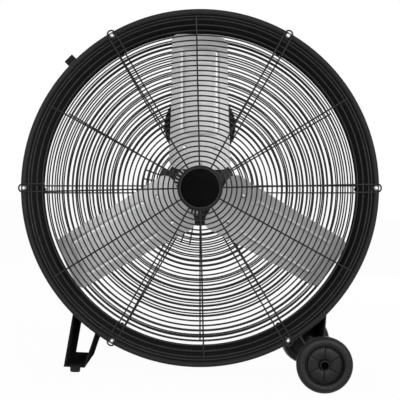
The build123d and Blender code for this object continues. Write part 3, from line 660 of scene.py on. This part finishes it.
# ---- Wire guards -----------------------------
FRONT_RUNS = ((49.5, 9.28, 26), (290.2, 10.4, 3), (316.5, 0.0, 1))  # first radius, pitch, count
REAR_RUNS = ((92.0, 9.6, 10), (185.5, 7.13, 11), (263.2, 9.28, 5), (305.9, 6.5, 2))
RING_WIRE, RIB_WIRE = 1.4, 1.5
RIB_DEPTH, RING_DEPTH = DRUM_HALF + RIB_WIRE, DRUM_HALF - RING_WIRE
LOOP_AT, LOOP_RADIUS = WALL + 4.5, 7.2  # the hairpins' return round their screws
BOSS = [(0, -113), (37, -113, 0.5), (37, -110.2, 0.5), (0, -110.2)]
BAND = (72.8, 75.4)
REAR_FOOT = BAND[0] + RIB_WIRE  # where the rear ribs start, on the motor's band
FRONT_LEAN = CLOCKING + 1.25
STAY_ANGLES, STAY_END = (73.0, 82.0), 118


def outer_edge(runs):
    """Radius of the outer edge of a guard's last ring."""
    first, pitch, count = runs[-1]
    return first + pitch * (count - 1) + RING_WIRE


def guard_rings(name, depth, runs):
    """Every ring of one guard, as round wire."""
    seeds = [(first + pitch * n, depth, 0) for first, pitch, count in runs for n in range(count)]
    return grow(
        in_scene(name, mesh_of(name, seeds)), RINGS, Wire=RING_WIRE * MM, Steps=160, Sides=8,
        Height=HUB * MM, Material=wire_coat,
    )


def bent_wire(name, angle, depth, line, copies=6):
    """Ribs that follow a path of (out, across) points, laid at an angle about the hub."""
    path = [(x, depth, z) for x, z in (laid(angle, out, across) for out, across in line)]
    mesh = mesh_of(name, path, edges=[(n, n + 1) for n in range(len(path) - 1)])
    return grow(
        in_scene(name, mesh), WIRES, Wire=RIB_WIRE * MM, Sides=10, Copies=copies,
        Centre=(0, 0, HUB * MM), Material=wire_coat,
    )


def half_loop(across, steps=12):
    """The return of a hairpin, about a point this far across from the rib's line."""
    turns = [polar(90 - 180 * n / steps, LOOP_RADIUS) for n in range(steps + 1)]
    return [(LOOP_AT + x, across + z) for x, z in turns]


def front_ribs():
    """Six ribs bent to a hairpin round their screw, and six straight ones between them."""
    run = [(20, 0), (120, 0), (220, 0)]
    back = [(300, -2 * LOOP_RADIUS), (286, -2 * LOOP_RADIUS)]
    hairpin = run + half_loop(-LOOP_RADIUS) + back
    straight = run + [(outer_edge(FRONT_RUNS), 0)]
    return join(
        bent_wire("front_guard_wires", FRONT_LEAN, -RIB_DEPTH, hairpin),
        bent_wire("front_straight_wires", FRONT_LEAN + 30, -RIB_DEPTH, straight),
        lathe("front_guard_boss", BOSS, wire_coat, steps=64),
    )


def rear_ribs():
    """Six hairpins from the motor's band to the rim, ribs between them, and eight short stays."""
    run = [REAR_FOOT, 160, 240]
    hairpin = [(out, LOOP_RADIUS) for out in run] + half_loop(0)
    hairpin += [(out, -LOOP_RADIUS) for out in reversed(run)]
    straight = [(out, 0) for out in (*run, outer_edge(REAR_RUNS))]
    stay = [(REAR_FOOT, 0), (STAY_END, 0)]
    return join(
        bent_wire("rear_guard_wires", CLOCKING, RIB_DEPTH, hairpin),
        bent_wire("rear_straight_wires", CLOCKING + 30, RIB_DEPTH, straight),
        *(bent_wire("rear_stays", angle, RIB_DEPTH, stay, copies=4) for angle in STAY_ANGLES),
        lathe("rear_guard_band", band(BAND, (110.1, 112.9), 0.8), wire_coat, steps=128),
    )


fit(front_ribs(), "drum", "guard_paint", "front_guard_ribs")
fit(rear_ribs(), "drum", "guard_paint", "rear_guard_ribs")
for side, front, runs in (("front", -1, FRONT_RUNS), ("rear", 1, REAR_RUNS)):
    circles = guard_rings(f"{side}_guard_circles", front * RING_DEPTH, runs)
    fit(circles, "drum", "guard_paint", f"{side}_guard_rings")

# ---- Fasteners -------------------------------
WASHER = 1.0
BOLT_STAND = 3.5  # height of a wall bolt's head and washer
COLLAR = 3.0
SCREW_CIRCLE = 324


def upright(name, section, material, steps=24, rounding=4):
    """A turned head that stands on the origin."""
    return lathe(name, section, material, ORIGIN, UP, steps, rounding)


def cross_head(name, radius, height, collar, collar_height, material):
    """Pan head screw on a collar or washer, with a cross recess cut into it."""
    top = collar_height + height
    section = [
        (0, top), (radius * 0.75, top, 0.8), (radius, top - height * 0.45, 0.8),
        (radius, collar_height), (collar, collar_height, 0.3), (collar, 0), (0, 0),
    ]
    head = upright(name, section, material, rounding=3)
    long, short, floor = radius / 2, radius * 0.24 / 2, collar_height + height * 0.3
    for x, y in ((short, long), (long, short)):
        tool = block("recess_tool", (-x, x), (-y, y), (floor, top + 2), material)
        modified(head, "BOOLEAN", operation="DIFFERENCE", solver="EXACT", object=tool)
        put_away(tool)
    return head


def hex_head(name, across, height, washer, material):
    """Hexagon bolt head with a turned chamfer, on a washer."""
    corners = across / 2 / cos(radians(30))
    levels = ((0.0, 1.0), (height - 0.6, 1.0), (height, 0.88))  # height, share of the corners
    points = [
        (*polar(60 * n, corners * share), z + WASHER) for z, share in levels for n in range(6)
    ]
    head = piece(name, points, stacked(len(levels), 6), material)
    break_edges(head, 0.15, 1)
    ring = [(0, 0), (washer, 0, 0.2), (washer, WASHER, 0.2), (0, WASHER)]
    return join(head, upright(name + "_washer", ring, material, rounding=2))


def dome_head(name, radius, height, material):
    """Domed rivet head."""
    dome = [(radius * cos(t), height * sin(t)) for t in (0, 0.35, 0.75, 1.15)]
    return upright(name, [(0, 0), *dome, (0, height)], material, steps=20)


def on_circle(radius, angles, depth, out, centre=HUB_POINT):
    """Places on a circle about an axis along y."""
    spots = (polar(angle, radius) for angle in angles)
    return [((centre[0] + x, depth, centre[2] + z), out) for x, z in spots]


def on_both_faces(depth):
    """Places of the guard screws, at this depth from the drum's middle."""
    sixths = [CLOCKING + 60 * n for n in range(6)]
    front = on_circle(SCREW_CIRCLE, sixths, -depth, FRONT)
    return front + on_circle(SCREW_CIRCLE, sixths, depth, REAR)


def wall_places(node):
    """Where a node's bolts stand on the duct, square to its wall."""
    made = []
    for group in solids_of(node):
        middle = sum(group, Vector()) / len(group)
        out = Vector((middle.x, 0, middle.z - HUB)).normalized()
        top = max((spot - Vector(HUB_POINT)).dot(out) for spot in group)
        seat = out * (top - BOLT_STAND) + Vector((0, middle.y, HUB))
        made.append((tuple(seat), tuple(out)))
    return made


pan = cross_head("guard_screw", 2.3, 2.2, 2.7, 0.4, zinc)
collar_section = [(0, COLLAR), (4.9, COLLAR, 0.5), (5.2, 0), (0, 0)]
collar = upright("guard_collar", collar_section, black_bolt)
collars = fasteners("guard_screw_collars", collar, on_both_faces(DRUM_HALF))
screws = fasteners("guard_screw_heads", pan, on_both_faces(DRUM_HALF + COLLAR), 3)
fit(collars, "drum", "black_steel")
fit(screws, "drum", "zinc_steel", "guard_screws")
wall_bolt = hex_head("wall_bolt", 9.4, BOLT_STAND - WASHER, 5.9, black_bolt)
for node, name in (("handle_bolts", "handle_bolt_heads"), ("bracket_bolts", "bracket_bolt_heads")):
    fit(fasteners(name, wall_bolt, wall_places(node), 11), "drum", "black_steel", node)

# ---- Centre cap ------------------------------
CAP = [
    (0, -119.4), (35.8, -119.4), (36.0, -120.8, 0.3), (36.8, -121, 0.5), (41.5, -114.9, 1.0),
    (42, -113.2, 0.4), (38, -113.2), (0, -113.2),
]
BADGE = [(0, -120.6), (30, -120.5), (35.6, -120.2, 0.4), (35.6, -119.3), (0, -119.3)]
fit(lathe("cap_ring", CAP, cap_ring, steps=128), "drum", "cap_plastic", "centre_cap")
fit(lathe("cap_disc", BADGE, badge_plain, steps=128), "drum", "cap_plastic")

# ---- Motor -----------------------------------
MOTOR, CAN_FRONT, CAN_BACK = 72.5, 45.0, 107.0
WAIST, INNER = MOTOR - 0.8, MOTOR - 2.0  # the can's slimmer middle, and its inside
CAN = [
    (0, CAN_BACK), (MOTOR, CAN_BACK, 1.5), (MOTOR, 100), (WAIST, 98.8, 0.5), (WAIST, 53.2, 0.5),
    (MOTOR, 52), (MOTOR, CAN_FRONT), (INNER, CAN_FRONT), (INNER, CAN_BACK - 2), (0, CAN_BACK - 2),
]
PLATE = [
    (0, CAN_BACK), (BAND[1], CAN_BACK, 0.5), (BAND[1], DRUM_HALF, 0.5), (58, DRUM_HALF, 1),
    (55, 109.2, 1), (20, 109.2, 1), (0, 109.2),
]
STUD_CIRCLE = 66.6
VENTS, VENT_RADII = 42, (44.0, 54.0)
VENT_EDGE = degrees(1.8 / 49.0)  # half the width of a vent, in degrees
SHIELD = [  # radius and depth of the end shield's front
    (10.0, 36.0), (20.0, 36.0), (32.0, 36.3), (42.0, 36.6), (VENT_RADII[0], 36.7),
    (VENT_RADII[1], 37.6), (58.0, 38.0), (STUD_CIRCLE, 39.2), (70.9, 40.4), (MOTOR, 42.6),
]
COIL = band((42.4, 57.6), (0, 1), 3)
RACE = both_ways([
    (8.05, 0, 0.4), (10.6, 0, 0.3), (10.9, 0.06), (14.4, 0.06), (14.7, 0, 0.3), (16.8, 0, 0.5),
], 0.5)


def vented_shield():
    """Motor end shield with a ring of radial slots, built as one slot's sector and its copies."""
    half, count = 180 / VENTS, len(SHIELD)
    layer = 4 * count
    slot = [radius for radius, _ in SHIELD].index(VENT_RADII[0])
    points = []
    for back in (False, True):
        for angle in (-half, -VENT_EDGE, VENT_EDGE, half):
            for radius, depth in SHIELD:
                x, z = polar(angle, radius)
                points.append((x, CAN_FRONT if back else depth, z))
    faces = []
    for side, lane, n in product((0, layer), range(3), range(count - 1)):
        if (lane, n) != (1, slot):
            a = side + lane * count + n
            faces.append((a, a + 1, a + 1 + count, a + count))
    walls = [(lane * count + slot, 1) for lane in (1, 2)]
    walls += [(count + n, count) for n in (slot, slot + 1)]
    walls += [(lane * count + n, count) for n in (0, count - 1) for lane in range(3)]
    faces += [(a, a + step, a + step + layer, a + layer) for a, step in walls]
    thing = piece("motor_vent_shield", points, faces, motor_coat, outwards=False)
    copies_round(thing, VENTS, HUB_POINT, motor_coat)
    with editing(thing.data) as grid:
        merge_points(grid, 2 * SAME_POINT)
        face_outwards(grid)
    ease_edges(thing.data)
    return thing


def rings_of(node, name, section, material):
    """Turned rings in the places of a node's solids; the section's depths are shares of theirs."""
    made = []
    for group in solids_of(node):
        low, high = min(spot.y for spot in group), max(spot.y for spot in group)
        made.append(lathe(name, facing(section, high - low, low), material, steps=72))
    return join(*made)


def coil_wrap():
    """Pale film in the vents on the left and lower side only: a painted highlight for the glint
    those vents catch.
    """
    points, faces = [], []
    for vent in range(16, 32):
        faces += [tuple(len(points) + corner for corner in side) for side in BOX_FACES]
        for depth, radius, edge in product((38.7, 45.5), (44.3, 53.7), (-0.95, 0.95)):
            x, z = polar(360 * vent / VENTS + edge * VENT_EDGE, radius)
            points.append((x, depth, HUB + z))
    return piece("coil_wrap", points, faces, coil_film)


quarters = [CLOCKING + 45 + 90 * n for n in range(4)]
stud = hex_head("stud_nut", 8.6, 2.4, 5.4, zinc)
stud_places = on_circle(STUD_CIRCLE, quarters, 109.9, REAR)
stud_places += on_circle(STUD_CIRCLE, quarters, 39.3, FRONT)
coils = rings_of("stator_windings", "wound_coils", COIL, copper)
bearings = rings_of("motor_bearings", "ball_bearings", RACE, shaft_steel)
fit(lathe("motor_shell", CAN, motor_coat, steps=126), "drum", "motor_paint", "motor_can")
fit(vented_shield(), "drum", "motor_paint", "motor_front_shield")
fit(lathe("motor_plate", PLATE, motor_coat, steps=128), "drum", "motor_paint", "motor_mount_plate")
fit(fasteners("motor_stud_nuts", stud, stud_places, 5), "drum", "zinc_steel", "motor_bolts")
fit(coils, "drum", "copper_wire", "stator_windings")
# Pale film in the vents on one side: a painted highlight, not a part of the motor.
fit(coil_wrap(), "drum", "grey_plastic")
fit(bearings, "drum", "bearing_steel", "motor_bearings")

# ---- Rotor -----------------------------------
PITCH = radians(27)
CHORD, SAG = 160.0, 7.0
CAMBER_RADIUS = (CHORD**2 / 4 + SAG**2) / (2 * SAG)
BLADES = {number: 90 + CLOCKING + 120 * (number - 1) for number in (1, 2, 3)}  # their angles
BLADE_SHEET, SPIDER_SHEET = 2.0, 3.0
TIP, ROOT, HALF_WIDTH = 301.0, 37.5, 53.8
TIP_CORNER, ROOT_CORNER, BEAD_CORNER = 14.0, 20.0, 9.0
FLARE, BLADE_SHIFT = 0.128, -1.0
PANEL_MIDDLE, PANEL_HALF = 190.0, (83.0, 34.0)
BEAD_HALF, BEAD_HEIGHT = (4.2, 2.5), 1.0  # half its width along the panel and at its ends
RIVETS = ((80, 29), (80, -29), (51, 0))
SHAFT = [(0, -25), (8, -25, 0.8), (8, 104, 0.8), (0, 104)]


def bead_height(u, v):
    """Height of the pressed bead round the blade's panel, soft along it and tighter at its ends."""
    du = abs(u - PANEL_MIDDLE) - (PANEL_HALF[0] - BEAD_CORNER)
    dv = abs(v - BLADE_SHIFT) - (PANEL_HALF[1] - BEAD_CORNER)
    end, side = max(du, 0), max(dv, 0)
    off = hypot(end, side) + min(max(du, dv), 0) - BEAD_CORNER
    endwise = end**2 / max(end**2 + side**2, 1e-6)
    half = BEAD_HALF[0] + (BEAD_HALF[1] - BEAD_HALF[0]) * endwise
    return BEAD_HEIGHT * (0.5 + 0.5 * cos(pi * min(abs(off) / half, 1)))


def flared(u, v):
    """Where a lane of the blade lies at this radius: it widens towards the root."""
    return v * (1 + FLARE * ((TIP - u) / (TIP - ROOT)) ** 2) + BLADE_SHIFT


def sag_at(chord):
    """How far the cambered sheet falls away this far from the middle of its chord."""
    return CAMBER_RADIUS - sqrt(CAMBER_RADIUS**2 - chord**2)


def on_blade(angle, u, v, lift):
    """Point of a blade: u out along it, v across it from the front, lift off its rear face."""
    chord = v / cos(PITCH)
    for _ in range(4):
        chord = (v + (sag_at(chord) + lift) * sin(PITCH)) / cos(PITCH)
    x, z = laid(angle, u, v)
    return (x, -chord * sin(PITCH) - (sag_at(chord) + lift) * cos(PITCH), HUB + z)


def blade_ends(v):
    """Where the blade starts and ends at this distance from its centreline, corners rounded."""
    start, end = ROOT, sqrt(TIP**2 - v**2)
    near, far = abs(v) - (HALF_WIDTH - ROOT_CORNER), abs(v) - (HALF_WIDTH - TIP_CORNER)
    if near > 0:
        start = ROOT + ROOT_CORNER - sqrt(max(ROOT_CORNER**2 - near**2, 0))
    if far > 0:
        middle = sqrt((TIP - TIP_CORNER) ** 2 - (HALF_WIDTH - TIP_CORNER) ** 2)
        end = middle + sqrt(max(TIP_CORNER**2 - far**2, 0))
    return start, end


def pressed_blade(name, angle):
    """Cambered aluminium sheet with a pressed bead, mapped from root to tip for its mill lines."""
    rows, lanes = 160, 96
    grid = bmesh.new()
    uv = grid.loops.layers.uv.new("sheet")
    spots = {}
    for lane in range(lanes + 1):
        # Lanes lie closer towards the sides, where the corners are.
        v = -0.5 * HALF_WIDTH * cos(pi * lane / lanes)
        v += 0.5 * HALF_WIDTH * (2 * lane / lanes - 1)
        start, end = blade_ends(v)
        for row in range(rows + 1):
            u = start + (end - start) * row / rows
            across = flared(u, v)
            place = on_blade(angle, u, across, BLADE_SHEET + bead_height(u, across))
            spots[lane, row] = (grid.verts.new(Vector(place) * MM), (u * MM, v * MM))
    for lane, row in product(range(lanes), range(rows)):
        corners = ((lane, row), (lane, row + 1), (lane + 1, row + 1), (lane + 1, row))
        ring = [spots[corner] for corner in corners]
        face = grid.faces.new([vert for vert, _ in ring])
        face.smooth = True
        for loop, (_, place) in zip(face.loops, ring):
            loop[uv].uv = place
    grid.normal_update()
    if sum((face.normal for face in grid.faces), Vector()).y > 0:
        bmesh.ops.reverse_faces(grid, faces=grid.faces)
    thing = from_grid(grid, name, aluminium)
    modified(thing, "SOLIDIFY", thickness=BLADE_SHEET * MM, offset=-1.0)
    return break_edges(thing, 0.5, 2, 50)


def rivet_places():
    """Both ends of every rivet: its head on the blade, its tail behind the spider's arm."""
    places = []
    for angle in BLADES.values():
        x, z = laid(angle, 0, -sin(PITCH))
        out = Vector((x, -cos(PITCH), z))
        for u, v in RIVETS:
            places.append((Vector(on_blade(angle, u, v, BLADE_SHEET)), out))
            places.append((Vector(on_blade(angle, u, v, -SPIDER_SHEET)), -out))
    return places


for number, angle in BLADES.items():
    blade = pressed_blade(f"pressed_blade_{number}", angle)
    fit(blade, "rotor", "blade_aluminium", f"blade_{number}")
spindle = lathe("motor_spindle", SHAFT, shaft_steel, steps=48)
fit(spindle, "rotor", "bearing_steel", "motor_shaft")
rivet = dome_head("rivet_head", 4.4, 2.2, rivet_steel)
rivets = fasteners("rivet_heads", rivet, rivet_places(), 7)
fit(rivets, "rotor", "rivet_steel", "blade_rivets")

# ---- Controls --------------------------------
CONTROL_BACK, LID_FACE, LID_EDGE = 149.0, 150.6, 151.5
control_x, control_rise = polar(90 + CLOCKING, 132.0)
CONTROL = (control_x, 0, HUB + control_rise)
BOX = [
    (0, 113.2), (70.5, 113.2, 3), (74.2, 117.5, 2), (74.8, 146, 0.5), (74.2, 146.4, 0.3),
    (74.2, CONTROL_BACK, 0.3), (0, CONTROL_BACK),
]
LID = [  # from the spindle's hole over the ring round the knob to the raised edge
    (4.2, CONTROL_BACK), (4.2, LID_FACE, 0.3), (20.5, LID_FACE, 0.4), (21.3, 151.4, 0.3),
    (23.0, 151.4, 0.3), (23.8, LID_FACE, 0.4), (68.0, LID_FACE, 0.6), (69.2, LID_EDGE, 0.5),
    (73.2, LID_EDGE, 0.9), (74.8, 150.2, 0.5), (74.8, CONTROL_BACK, 0.2),
]
SETTINGS = (0, 45, 90, 135)  # degrees round the dial
KNOB_RADIUS, FLUTES, FLUTE_DEPTH = 17.2, 20, 0.7
KNOB_LEVELS = (  # depth, share of the radius and share of the flutes' depth
    (151.8, 0.97, 0.5), (152.6, 1.0, 1.0), (163.6, 1.0, 1.0), (165.0, 0.97, 0.6),
    (165.8, 0.9, 0.0),
)
SPINDLE = [(0, 131.8), (3.0, 131.8), (3.0, 152), (0, 152)]


def dial_ticks():
    """Four small raised marks beside the knob, one at each of its settings."""
    marks = []
    for setting in SETTINGS:
        corners = []
        for out, across, depth in product((25.5, 30.0), (-0.7, 0.7), (150.4, 151.3)):
            x, z = laid(90 + setting, out, across)
            corners.append((CONTROL[0] + x, depth, CONTROL[2] + z))
        marks.append(piece("dial_ticks", corners, BOX_FACES, mark_paint))
    return join(*marks)


def fluted_knob():
    """Round knob with finger flutes and a soft top edge."""
    steps, points = 160, []
    for (depth, share, cut), step in product(KNOB_LEVELS, range(steps)):
        turn = 360 * step / steps
        wave = 0.5 - 0.5 * cos(radians(turn * FLUTES))
        x, z = polar(turn, KNOB_RADIUS * share - cut * FLUTE_DEPTH * wave)
        points.append((CONTROL[0] + x, depth, CONTROL[2] + z))
    knob = piece("fluted_knob", points, stacked(len(KNOB_LEVELS), steps), knob_plastic)
    ease_edges(knob.data)
    return knob


def knob_pointer():
    """Raised pointer along the knob's face, from near its middle to its edge."""
    xs, zs = [CONTROL[0] + x for x in (-1.3, 1.3)], [CONTROL[2] + z for z in (1.8, 16.2)]
    return break_edges(block("knob_pointer", xs, (165.5, 167.8), zs, mark_paint), 0.5)


control_box = lathe("control_box", BOX, control_plastic, CONTROL, steps=144)
control_lid = lathe("control_lid", LID, control_plastic, CONTROL, steps=144)
fit(control_box, "drum", "control_plastic", "control_housing")
fit(control_lid, "drum", "control_plastic", "control_cover")
fit(dial_ticks(), "drum", "control_plastic")
fit(fluted_knob(), "knob", "knob_plastic", "speed_knob")
fit(lathe("knob_spindle", SPINDLE, shaft_steel, CONTROL, steps=32), "knob", "knob_plastic")
fit(knob_pointer(), "knob", "knob_plastic")
cover_screw = cross_head("cover_screw", 2.8, 1.4, 3.0, 0.2, zinc)
cover_places = on_circle(62.0, quarters, 150.5, REAR, CONTROL)
fit(fasteners("cover_screw_heads", cover_screw, cover_places, 13), "drum", "zinc_steel")

# ---- Wheels and feet -------------------------
WHEEL_MIDDLE = 149.0  # of each wheel's width, before and behind the drum's middle
TYRE = [
    (34.05, 14.5), (35.2, 17.6, 1.2), (37.6, 19.6, 1.6), (41.5, 20.0, 1), (46.5, 19.4, 3.5),
    (50.9, 14.2, 5), (50.7, 8.0), (50.1, 7.4), (48.9, -7.4), (49.2, -8.0), (48.1, -14.2, 5),
    (43.5, -19.4, 3.5), (38.5, -20.0, 1), (36.4, -19.6, 1), (35.0, -17.8, 0.4), (34.05, -17.0),
]
DISC = [
    (5.06, 16.9), (8.9, 16.9, 0.7), (9.4, 6.5, 0.6), (30.6, 6.5, 0.3), (31.0, 4.0, 0.4),
    (34.0, 4.0), (34.0, -16.0, 0.3), (32.4, -15.9, 0.5), (31.0, -12.0, 1), (10.2, -12.0, 1),
    (9.0, -16.9, 0.7), (5.06, -16.9),
]
RAISED, RAISED_LEVELS, RAISED_RADII = 6, (6.3, 10.2), (10.4, 30.6)  # panels in the disc's dish
GROOVE = 0.8  # half the width left between two panels
ROD = both_ways([(0, -166.4), (5, -166.4, 0.5)])
END_CAP = [(0, 171), (4.6, 170.8, 1), (6.4, 169.4, 1), (6.9, 166.6, 0.3), (0, 166.5)]
TUBE = [(5.1, 80), (8, 80, 0.6), (8, 131.5, 0.6), (5.1, 131.5)]
FOOT_X, FOOT_DEPTH = -219.25, 62
FOOT = [
    (0, 0.6), (7, 0.6, 0.5), (7.6, 0, 0.5), (9.2, 0, 0.8), (10.1, 10.2, 0.5), (9.6, 11, 0.3),
    (0, 11),
]


def wheel_panels(name, middle, front):
    """Six raised panels in the wheel's dish, with a narrow groove between each two."""
    steps = 12
    points = []
    for level, radius in product(RAISED_LEVELS, RAISED_RADII):
        reach = 180 / RAISED - degrees(asin(GROOVE / radius))
        for step in range(steps + 1):
            x, z = polar(reach * (2 * step / steps - 1), radius)
            points.append((x, middle + front * level, z))
    row = steps + 1
    sides = [(low * row, high * row) for low, high in ((0, 1), (2, 3), (0, 2), (1, 3))]
    faces = [(a + n, a + n + 1, b + n + 1, b + n) for n in range(steps) for a, b in sides]
    faces += [(n, row + n, 3 * row + n, 2 * row + n) for n in (0, steps)]
    thing = break_edges(piece(name, points, faces, wheel_plastic), 0.35)
    return copies_round(thing, RAISED, AXLE_POINT, wheel_plastic)


def on_axle(name, section, material):
    """The same turned piece at the front and rear of the axle."""
    ends = (facing(section, front) for front in (-1, 1))
    return join(*(lathe(name, end, material, AXLE_POINT, steps=48) for end in ends))


def rubber_feet():
    feet = ((FOOT_X, depth, 0) for depth in (-FOOT_DEPTH, FOOT_DEPTH))
    return join(*(lathe("rubber_foot_pads", FOOT, foot_rubber, at, UP, 48) for at in feet))


for side, front in (("front", -1), ("rear", 1)):
    middle = front * WHEEL_MIDDLE
    tyre_section, disc_section = facing(TYRE, front, middle), facing(DISC, front, middle)
    tyre = lathe(f"{side}_rubber_tyre", tyre_section, tyre_rubber, AXLE_POINT, steps=128)
    disc = lathe(f"{side}_dished_disc", disc_section, wheel_plastic, AXLE_POINT)
    join(disc, wheel_panels(f"{side}_disc_panels", middle, front))
    fit(tyre, f"{side}_wheel", "tyre_rubber", f"{side}_tyre")
    fit(disc, f"{side}_wheel", "wheel_plastic", f"{side}_wheel_disc")
axle_rod = lathe("axle_rod", ROD, axle_steel, AXLE_POINT, steps=48)
fit(axle_rod, "drum", "axle_steel", "axle")
fit(on_axle("axle_end_caps", END_CAP, end_cap_plastic), "drum", "cap_plastic", "axle_caps")
fit(on_axle("axle_spacer_tubes", TUBE, wheel_plastic), "drum", "wheel_plastic", "axle_spacers")
fit(rubber_feet(), "drum", "foot_rubber", "rubber_feet")

# ---- Stage -----------------------------------
WHITE = (1, 1, 1, 1)
FLOOR_TONE, FLOOR_GLOW = (0.9, 0.9, 0.9, 1), 0.97
FLOOR_CORNERS = ((-30, -30, 0), (30, -30, 0), (30, 30, 0), (-30, 30, 0))  # in metres
SURROUND_LIGHT = 0.4
LIGHTS_AIM = Vector((0, 0, 0.35))


def any_ray(nodes, *kinds):
    """One for a ray of any of these kinds, and nought for the rest."""
    rays = nodes.add("ShaderNodeLightPath")
    seen = rays[kinds[0]]
    for kind in kinds[1:]:
        seen = nodes.maths("MAXIMUM", seen, rays[kind])
    return seen


def cleared(block):
    """The empty node tree of a material or world."""
    block.use_nodes = True
    block.node_tree.nodes.clear()
    return Nodes(block.node_tree)


def pale_stage():
    """A white floor that keeps the soft shadow, under an even white surround."""
    white = bpy.data.materials.new("floor_white")
    nodes = cleared(white)
    glow = nodes.add("ShaderNodeEmission", Color=WHITE, Strength=1.0)[0]
    matt = nodes.add("ShaderNodeBsdfDiffuse", Color=FLOOR_TONE)[0]
    seen = any_ray(nodes, "Is Camera Ray", "Is Glossy Ray")
    share = nodes.maths("MULTIPLY", seen, FLOOR_GLOW)
    mix = nodes.add("ShaderNodeMixShader", Fac=share, _1=matt, _2=glow)[0]
    nodes.add("ShaderNodeOutputMaterial", Surface=mix)
    floor = bpy.data.meshes.new("floor")
    floor.from_pydata(FLOOR_CORNERS, [], [(0, 1, 2, 3)])
    in_scene("floor", floor, white)


def surround():
    """The world: white where it is seen or mirrored, softer where it lights the fan."""
    world = bpy.data.worlds.new("surround")
    bpy.context.scene.world = world
    nodes = cleared(world)
    soft, white = (
        nodes.add("ShaderNodeBackground", Color=WHITE, Strength=strength)[0]
        for strength in (SURROUND_LIGHT, 1.0)
    )
    seen = any_ray(nodes, "Is Camera Ray", "Is Glossy Ray", "Is Transmission Ray")
    mix = nodes.add("ShaderNodeMixShader", Fac=seen, _1=soft, _2=white)[0]
    nodes.add("ShaderNodeOutputWorld", Surface=mix)


def soft_box(name, place, size, power):
    """A square studio light that points at the fan's middle."""
    lamp = bpy.data.lights.new(name, "AREA")
    lamp.shape, lamp.size, lamp.energy = "SQUARE", size, power
    light = in_scene(name, lamp)
    light.location = place
    light.rotation_euler = (LIGHTS_AIM - Vector(place)).to_track_quat("-Z", "Y").to_euler()


pale_stage()
surround()
soft_box("key_front", (0.5, -2.6, 0.7), 1.2, 36)
soft_box("side_right", (1.9, -2.0, 0.8), 1.4, 18)
soft_box("fill_left", (-1.5, -2.2, 1.0), 1.6, 24)
soft_box("rear_soft", (0.6, 2.6, 1.1), 1.8, 24)

# ---- Camera ----------------------------------
CAMERA_PLACE = (0.00106, -1.856, 0.335)
lens = bpy.data.cameras.new("camera")
lens.lens, lens.sensor_width, lens.clip_end = 85.41, 36.0, 100.0
camera = in_scene("camera", lens)
right_x, right_z = polar(CLOCKING, 1.0)  # the camera is rolled, so that the fan stands level
turn = Matrix(((right_x, 0, right_z), (-right_z, 0, right_x), -AXIS)).transposed().to_4x4()
camera.matrix_world = Matrix.Translation(CAMERA_PLACE) @ turn
bpy.context.scene.camera = camera
bpy.context.scene.view_settings.view_transform = "Standard"

put_away(pan, collar, stud, rivet, wall_bolt, cover_screw)
